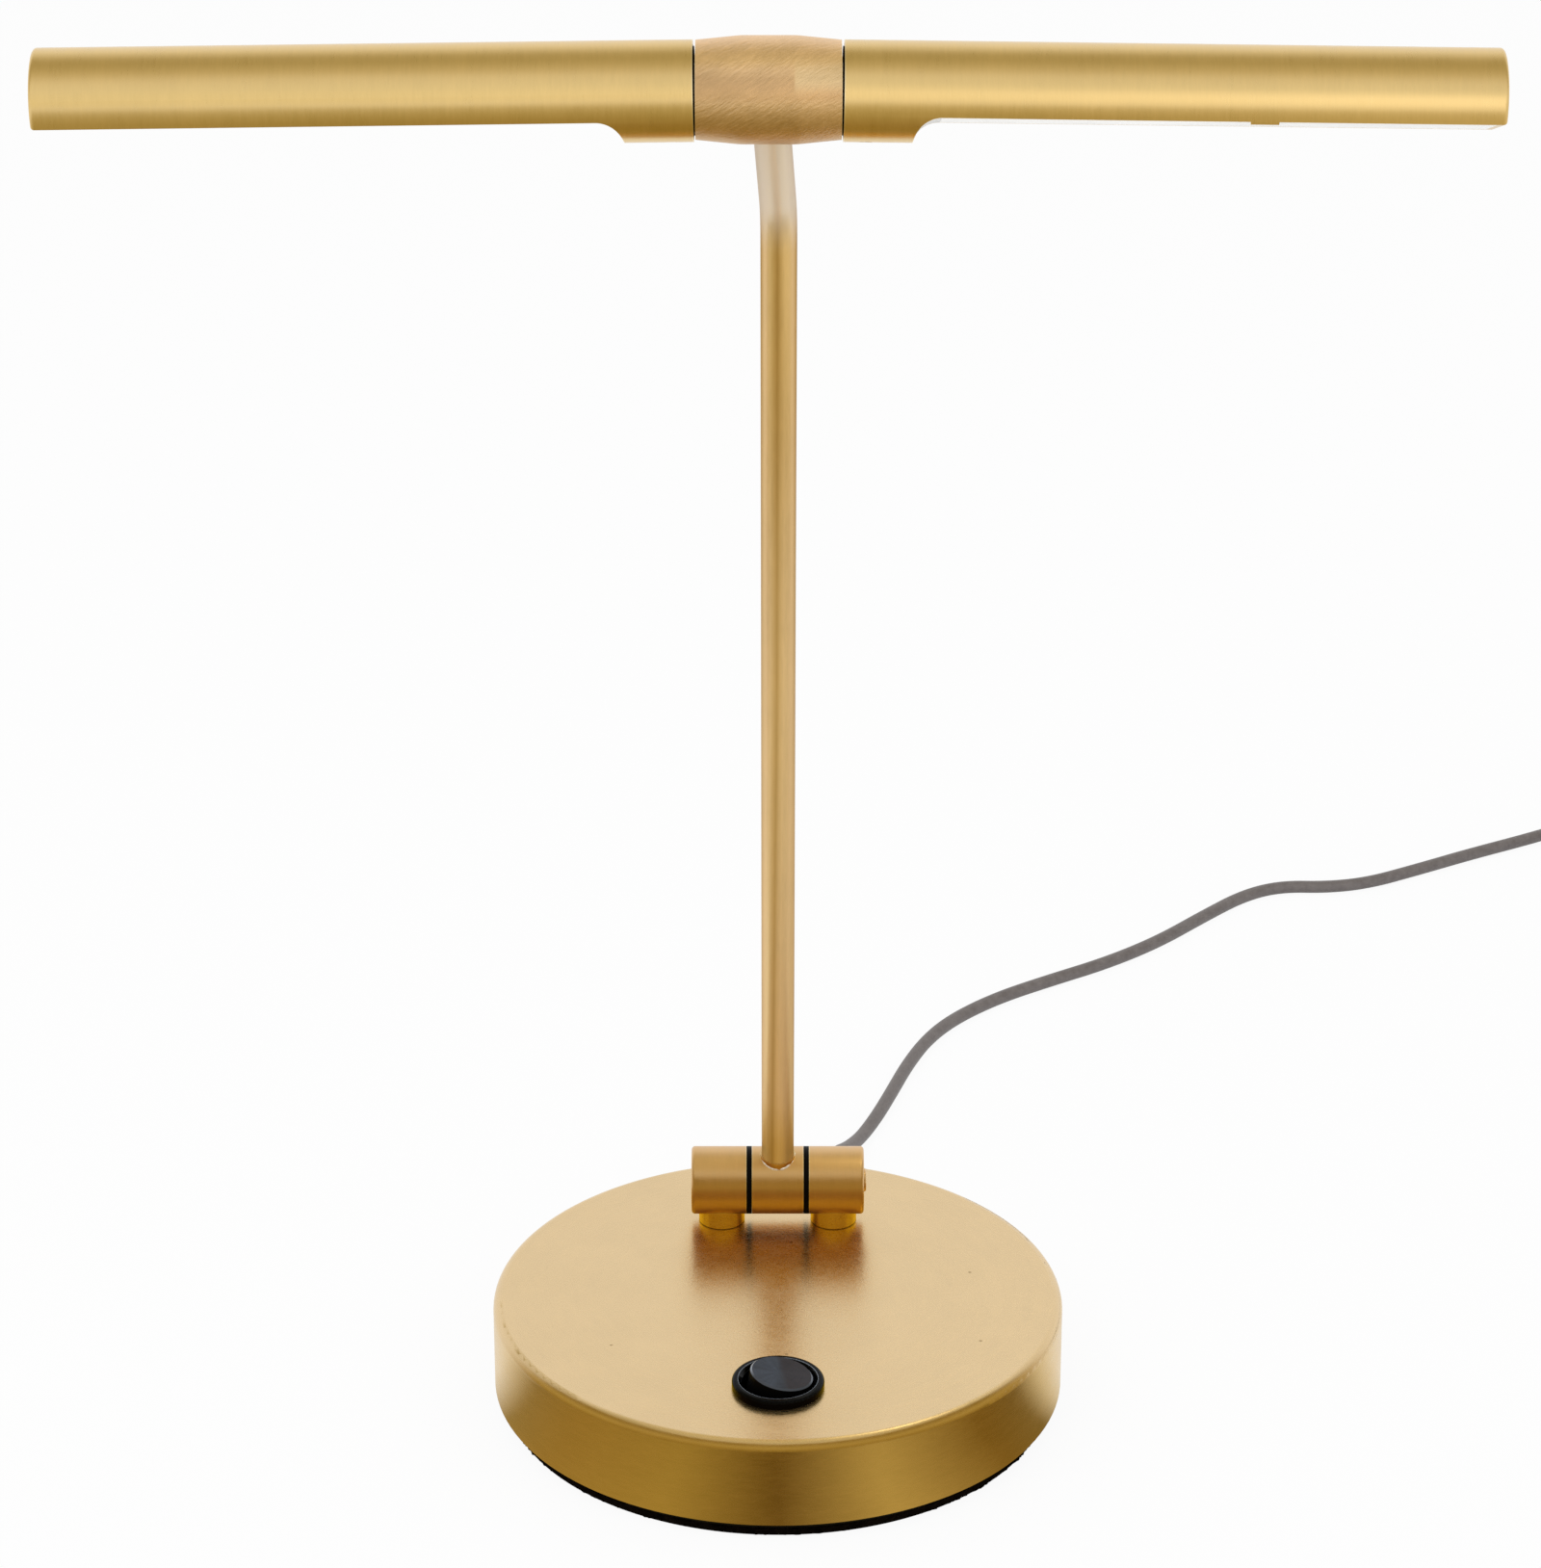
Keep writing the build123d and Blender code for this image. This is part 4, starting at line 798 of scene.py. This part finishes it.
LOOKS = {
    "shell": ["base_shell"],
    "tube": ["light_tube", "end_cap"],
    "arm": ["arm_tube"],
    "hinge": ["hinge_barrel", "arm_knuckle", "hinge_bolt"],
    "post": ["hinge_post"],
    "hub": ["hub"],
    "switch_gloss": ["switch_housing", "switch_nut"],
    "turned_cap": ["switch_rocker"],
    "black_matte": ["friction_washer", "glide_washer", "driver_parts", "cord_gland"],
    "white_plastic": ["pivot_socket"],
    "plate": ["bottom_plate"],
    "plug": ["adapter_body"],
    "board": ["driver_board", "led_board"],
    "led": ["led_chips"],
    "opal": ["diffuser"],
    "aluminium": [
        "led_carrier",
        "switch_terminals",
        "switch_contact",
        "switch_plunger",
        "board_posts",
    ],
    "iron": ["ballast_disc"],
    "cord": ["arm_cable"],
}


def paint(piece, material):
    piece.data.materials.clear()
    piece.data.materials.append(material)


def look_of(node):
    """The look for a node, by its name with or without its side."""
    stem = node.removesuffix("_left").removesuffix("_right")
    for look, stems in LOOKS.items():
        if stem in stems:
            return look
    return "steel"


for node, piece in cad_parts.items():
    paint(piece, SHADERS[look_of(node)].material)
paint(flex, SHADERS["cord"].material)


# ---------------------------------------------------------------- pieces modelled as meshes


def ring_mesh(name, rings, closed):
    """A skin over rings of points. closed joins the last ring to the first, in place of caps."""
    mesh = bmesh.new()
    rows = [[mesh.verts.new(point) for point in ring] for ring in rings]
    pairs = list(zip(rows, rows[1:]))
    if closed:
        pairs.append((rows[-1], rows[0]))
    else:
        mesh.faces.new(list(reversed(rows[0])))
        mesh.faces.new(rows[-1])
    for lower, upper in pairs:
        for step in range(len(lower)):
            after = (step + 1) % len(lower)
            mesh.faces.new((lower[step], lower[after], upper[after], upper[step]))
    bmesh.ops.recalc_face_normals(mesh, faces=mesh.faces)
    data = bpy.data.meshes.new(name)
    mesh.to_mesh(data)
    mesh.free()
    return new_object(name, data)


FELT_STEPS = 720
FELT_ROWS = 8
FELT_FUZZ = 0.00045  # how far its rim lies inside the pad's, on average
FELT_CORNER = 1.6  # its top and bottom edges lie this many times as far in
FIBRE_SCALE = 1500  # per metre
WAVE_SCALE = 320


def felt_disc():
    """The felt under the foot, with a rough, slightly uneven rim."""
    low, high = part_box("felt_pad")
    radius = half_size("felt_pad")[0]
    rings = []
    for row in range(FELT_ROWS + 1):
        height = low[2] + (high[2] - low[2]) * row / FELT_ROWS
        ring = []
        for step in range(FELT_STEPS):
            angle = 2 * pi * step / FELT_STEPS
            spot = Vector((cos(angle), sin(angle), 0)) * radius
            fibres = noise.noise(Vector((spot.x, spot.y, height)) * FIBRE_SCALE)
            rough = fibres + noise.noise(spot * WAVE_SCALE)
            inset = FELT_FUZZ * (1 + rough if 0 < row < FELT_ROWS else FELT_CORNER)
            reach = radius - max(0.0, inset)
            ring.append((reach * cos(angle), reach * sin(angle), height))
        rings.append(ring)
    piece = ring_mesh("felt_disc", rings, closed=False)
    paint(piece, SHADERS["felt"].material)
    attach(piece, "foot")
    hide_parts("felt_pad")


BEAD_RADIUS = 0.00042
BEAD_STEPS = 160
BEAD_SIDES = 10
BEAD_LUMPS = [(900, 0.55), (260, 0.5)]  # (how many per metre, share of the radius)


def solder_bead():
    """The uneven line of solder round the arm, where it enters the knuckle."""
    axis = Vector((0, *middle_of("hinge_barrel_left")[1:]))
    knuckle_radius = half_size("hinge_barrel_left")[2]
    lean = radians(ARM_LEAN_DEG)
    back = Vector((0, cos(lean), sin(lean)))
    along = Vector((0, -sin(lean), cos(lean)))
    rings = []
    for step in range(BEAD_STEPS):
        angle = 2 * pi * step / BEAD_STEPS
        outward = Vector((cos(angle), 0, 0)) + back * sin(angle)
        rise = sqrt(knuckle_radius**2 - (ARM_RADIUS * sin(angle)) ** 2)
        middle = axis + outward * ARM_RADIUS + along * rise
        lumps = sum(share * noise.noise(middle * scale) for scale, share in BEAD_LUMPS)
        thick = BEAD_RADIUS * (1 + lumps)
        ring = []
        for side in range(BEAD_SIDES):
            turn = 2 * pi * side / BEAD_SIDES
            ring.append(middle + (outward * cos(turn) + along * sin(turn)) * thick)
        rings.append(ring)
    piece = ring_mesh("solder_bead", rings, closed=True)
    piece.data.shade_smooth()
    paint(piece, SHADERS["solder"].material)
    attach(piece, "arm")


felt_disc()
solder_bead()


# ---------------------------------------------------------------- studio

WHITE = (1.0, 1.0, 1.0)
SECOND_MIRROR = (0.94, 0.75, 0.06)  # what metal sees by way of other metal is deeper in tone


class StageNodes(Nodes):
    """The nodes of a stage material or the world, which look different to each kind of ray."""

    def __init__(self, owner, output="ShaderNodeOutputMaterial"):
        owner.use_nodes = True
        super().__init__(owner.node_tree)
        self.output = self.add(output)
        self.ray = self.add("ShaderNodeLightPath").outputs
        self.places = self.add("ShaderNodeTexCoord").outputs

    def finish(self, shader):
        self.link(shader, self.output.inputs["Surface"])

    def deeper(self, colour):
        """The colour as it is, or deeper where it is seen in a second mirror."""
        again = self.spread(self.ray["Glossy Depth"], 0, 1, 1, 2)
        return self.mix(again, colour, SECOND_MIRROR, blend="MULTIPLY")

    def finish_fading(self, mask, colour):
        """Finishes with a glow where the mask is 1, and with nothing where it is 0."""
        clear = self.add("ShaderNodeBsdfTransparent").outputs[0]
        self.finish(self.either(mask, clear, self.glow(self.deeper(colour))))


def stage_material(piece, name):
    """Paints a piece with a new material, and gives the material's nodes."""
    material = bpy.data.materials.new(name)
    paint(piece, material)
    return StageNodes(material)


def flat_card(name, size, place, tilt=(0, 0, 0)):
    """A flat rectangle that faces up before it is tilted."""
    data = bpy.data.meshes.new(name)
    x, y = times(size, 0.5)
    data.from_pydata([(-x, -y, 0), (x, -y, 0), (x, y, 0), (-x, y, 0)], [], [(0, 1, 2, 3)])
    card = new_object(name, data)
    card.location = place
    card.rotation_euler = tilt
    return card


def mirror_only(card):
    """Only mirrored rays see the card."""
    card.visible_camera = False
    card.visible_diffuse = False
    card.visible_shadow = False


def card_mask(nodes, size, fade_from, mask=1.0):
    """The mask, fading out from that share of the way to a card's edges."""
    for place, side in zip(nodes.split(nodes.places["Object"]), size):
        off = nodes.math("DIVIDE", nodes.math("ABSOLUTE", place), side / 2)
        mask = nodes.product(nodes.spread(off, 1, 0, fade_from, 1, smooth=True), mask)
    return mask


# The table in the metal's mirror: a bronze reflector lies before the foot and fades into the white
# table. Far is by distance in metres, near by the angle round the foot, from behind over the left,
# the front (0.5) and the right.
REFLECTOR_FAR = [
    (0.08, (0.20, 0.12, 0.01)),
    (0.24, (0.35, 0.24, 0.07)),
    (0.46, (0.45, 0.36, 0.14)),
    (0.90, (0.56, 0.48, 0.25)),
    (1.60, (0.67, 0.61, 0.41)),
    (2.60, WHITE),
]
REFLECTOR_NEAR = [
    (0.235, WHITE),
    (0.286, (0.31, 0.23, 0.09)),
    (0.339, (0.36, 0.25, 0.07)),
    (0.430, (0.42, 0.32, 0.09)),
    (0.500, (0.11, 0.055, 0.001)),
    (0.572, (0.56, 0.46, 0.20)),
    (0.661, (0.19, 0.11, 0.012)),
    (0.708, (0.19, 0.13, 0.04)),
    (0.738, (0.78, 0.74, 0.62)),
    (0.765, WHITE),
]
NEAR_ENDS = (0.13, 0.24)  # the near pattern gives way to the far one between these radii
NEAR_LIFT = 0.10  # the near pattern is lifted this much towards its colour right at the foot
NEAR_LIFT_COLOUR = (0.95, 0.75, 0.25)
NEAR_LIFT_RADII = (0.076, 0.125)
RIGHT_LIFT = 0.55  # and the far one this much at the right
RIGHT_LIFT_COLOUR = (0.86, 0.76, 0.50)
RIGHT_LIFT_REACH = (0.08, 0.20)
SIDE_STRETCH = 2.5  # the reflector fades this much sooner to the sides
REFLECTOR_BACK = (-0.02, 0.06)  # and it ends between these places behind the middle
FLOOR_SIDE = 30
FLOOR_GREY = (0.80, 0.80, 0.80)
FLOOR_WHITE = 0.93  # of plain white to the camera; the rest of the table keeps the shadow


def table():
    """Pale table, nearly white to the camera, with the reflector in the metal's mirror only."""
    nodes = stage_material(flat_card("floor", (FLOOR_SIDE, FLOOR_SIDE), (0, 0, 0)), "table")
    x, y, _ = nodes.split(nodes.places["Object"])
    reach = REFLECTOR_FAR[-1][0]
    aside = nodes.product(x, SIDE_STRETCH / reach)
    distance = nodes.length(aside, nodes.math("DIVIDE", y, reach))
    far = nodes.ramp(distance, *[(stop / reach, tone) for stop, tone in REFLECTOR_FAR])
    right = nodes.product(nodes.spread(x, 0, 1, *RIGHT_LIFT_REACH, smooth=True), RIGHT_LIFT)
    far = nodes.mix(right, far, RIGHT_LIFT_COLOUR)
    turn = nodes.math("ARCTAN2", x, nodes.product(y, -1.0))
    near = nodes.ramp(nodes.spread(turn, 0, 1, -pi, pi), *REFLECTOR_NEAR)
    radius = nodes.length(x, y)
    colour = nodes.mix(nodes.spread(radius, 0, 1, *NEAR_ENDS, smooth=True), near, far)
    close = nodes.spread(radius, NEAR_LIFT, 0, *NEAR_LIFT_RADII)
    colour = nodes.mix(close, colour, NEAR_LIFT_COLOUR)
    colour = nodes.mix(nodes.spread(y, 0, 1, *REFLECTOR_BACK, smooth=True), colour, WHITE)
    mirrored = nodes.glow(nodes.deeper(colour))
    plain = nodes.fed(nodes.add("ShaderNodeBsdfDiffuse"), FLOOR_GREY).outputs[0]
    seen = nodes.product(nodes.ray["Is Camera Ray"], FLOOR_WHITE)
    direct = nodes.either(seen, plain, nodes.glow(WHITE))
    nodes.finish(nodes.either(nodes.ray["Is Glossy Ray"], direct, mirrored))


# What polished metal sees of the room, by the angle from the front horizon (0) over the top (0.5)
# to the horizon behind (1)
ROOM = [
    (0.00, (0.98, 0.95, 0.76)),
    (0.08, (1.00, 0.98, 0.86)),
    (0.18, (0.96, 0.96, 0.90)),
    (0.29, (0.90, 0.88, 0.81)),
    (0.40, (0.68, 0.62, 0.44)),
    (0.52, (0.51, 0.45, 0.26)),
    (0.62, (0.52, 0.46, 0.28)),
    (0.72, (0.81, 0.78, 0.68)),
    (0.80, WHITE),
]
WORLD_LIGHT = 0.80


def studio_world():
    """White to the camera, plain light on the lamp, and the room's soft tones in its metal."""
    world = bpy.data.worlds.new("studio")
    bpy.context.scene.world = world
    nodes = StageNodes(world, "ShaderNodeOutputWorld")
    _, y, z = nodes.split(nodes.places["Generated"])
    turn = nodes.math("ARCTAN2", z, nodes.product(y, -1.0))
    room = nodes.deeper(nodes.ramp(nodes.math("DIVIDE", turn, pi), *ROOM))
    backdrop, light, mirror = (
        nodes.fed(nodes.add("ShaderNodeBackground"), colour, strength).outputs[0]
        for colour, strength in ((WHITE, 1.0), (WHITE, WORLD_LIGHT), (room, 1.0))
    )
    shown = nodes.math("MAXIMUM", nodes.ray["Is Camera Ray"], nodes.ray["Is Transmission Ray"])
    unseen = nodes.either(nodes.ray["Is Glossy Ray"], light, mirror)
    nodes.finish(nodes.either(shown, unseen, backdrop))


# An upright card at the right of the camera that only mirrored rays see
BRIGHT_SIZE = (1.10, 0.90)
BRIGHT_PLACE = (0.42, -1.0, 0.50)
BRIGHT_COLOUR = (1.62, 1.58, 1.50)
BRIGHT_FADE_FROM = 0.1  # of the way from its middle to its edges


def bright_card():
    card = flat_card("card_bright", BRIGHT_SIZE, BRIGHT_PLACE, (radians(90), 0, 0))
    mirror_only(card)
    nodes = stage_material(card, "card_bright")
    nodes.finish_fading(card_mask(nodes, BRIGHT_SIZE, BRIGHT_FADE_FROM), BRIGHT_COLOUR)


# A bronze cove stands round the front of the foot. Its colours go by height, and it thins out at
# the top and at its two ends.
COVE_RADIUS = 0.135
COVE_HEIGHT = 0.23
COVE_REACH_DEG = 105
COVE_STEPS = 48
COVE = [
    (0.00, (0.34, 0.23, 0.04)),
    (0.20, (0.50, 0.37, 0.10)),
    (0.50, (0.28, 0.18, 0.02)),
    (0.80, (0.46, 0.34, 0.09)),
]
COVE_TOP = (0.58, 1.0)  # shares of its height
COVE_ENDS = (-0.03, 0.03)  # places along Y


def cove():
    corners = []
    for step in range(COVE_STEPS + 1):
        angle = radians(COVE_REACH_DEG) * (2 * step / COVE_STEPS - 1)
        for height in (0.0, COVE_HEIGHT):
            corners.append((COVE_RADIUS * sin(angle), -COVE_RADIUS * cos(angle), height))
    faces = [(2 * step, 2 * step + 2, 2 * step + 3, 2 * step + 1) for step in range(COVE_STEPS)]
    data = bpy.data.meshes.new("cove")
    data.from_pydata(corners, [], faces)
    wall = new_object("cove", data)
    mirror_only(wall)
    nodes = stage_material(wall, "cove")
    _, y, z = nodes.split(nodes.places["Object"])
    level = nodes.math("DIVIDE", z, COVE_HEIGHT)
    below = nodes.spread(level, 1, 0, *COVE_TOP, smooth=True)
    between = nodes.spread(y, 1, 0, *COVE_ENDS, smooth=True)
    nodes.finish_fading(nodes.product(below, between), nodes.ramp(level, *COVE))


# A pale card over the foot, seen from below only, with a bright spot to the right
OVER_SIZE = (0.34, 0.30)
OVER_PLACE = (0.02, 0.02, 0.22)
OVER_COLOUR = (0.70, 0.62, 0.38)
OVER_FADE_FROM = 0.45
SPOT_PLACE = (0.075, 0.048)
SPOT_RADII = (0.0052, 0.052)  # it fades between them
SPOT_COLOUR = (3.2, 2.9, 1.9)


def over_card():
    card = flat_card("card_over", OVER_SIZE, OVER_PLACE)
    mirror_only(card)
    nodes = stage_material(card, "card_over")
    from_below = nodes.add("ShaderNodeNewGeometry").outputs["Backfacing"]
    off_spot = [
        nodes.math("SUBTRACT", place, spot - middle)
        for place, spot, middle in zip(nodes.split(nodes.places["Object"]), SPOT_PLACE, OVER_PLACE)
    ]
    bright = nodes.spread(nodes.length(*off_spot), 1, 0, *SPOT_RADII, smooth=True)
    mask = card_mask(nodes, OVER_SIZE, OVER_FADE_FROM, from_below)
    nodes.finish_fading(mask, nodes.mix(bright, OVER_COLOUR, SPOT_COLOUR))


LIGHT_AIM = Vector((0, 0, 0.15))
LIGHTS = [  # (name, place, side, watts)
    ("key", (-0.7, -0.6, 1.5), 1.0, 7),
    ("fill", (1.0, -0.8, 1.0), 0.8, 3),
]


def area_light(name, place, side, watts):
    """A soft box that lights the lamp and leaves no bright patch in the metal."""
    data = bpy.data.lights.new(name, "AREA")
    data.size = side
    data.energy = watts
    lamp = new_object(name, data)
    lamp.location = place
    lamp.rotation_euler = (LIGHT_AIM - Vector(place)).to_track_quat("-Z", "Y").to_euler()
    lamp.visible_glossy = False


table()
studio_world()
bright_card()
cove()
over_card()
for light in LIGHTS:
    area_light(*light)
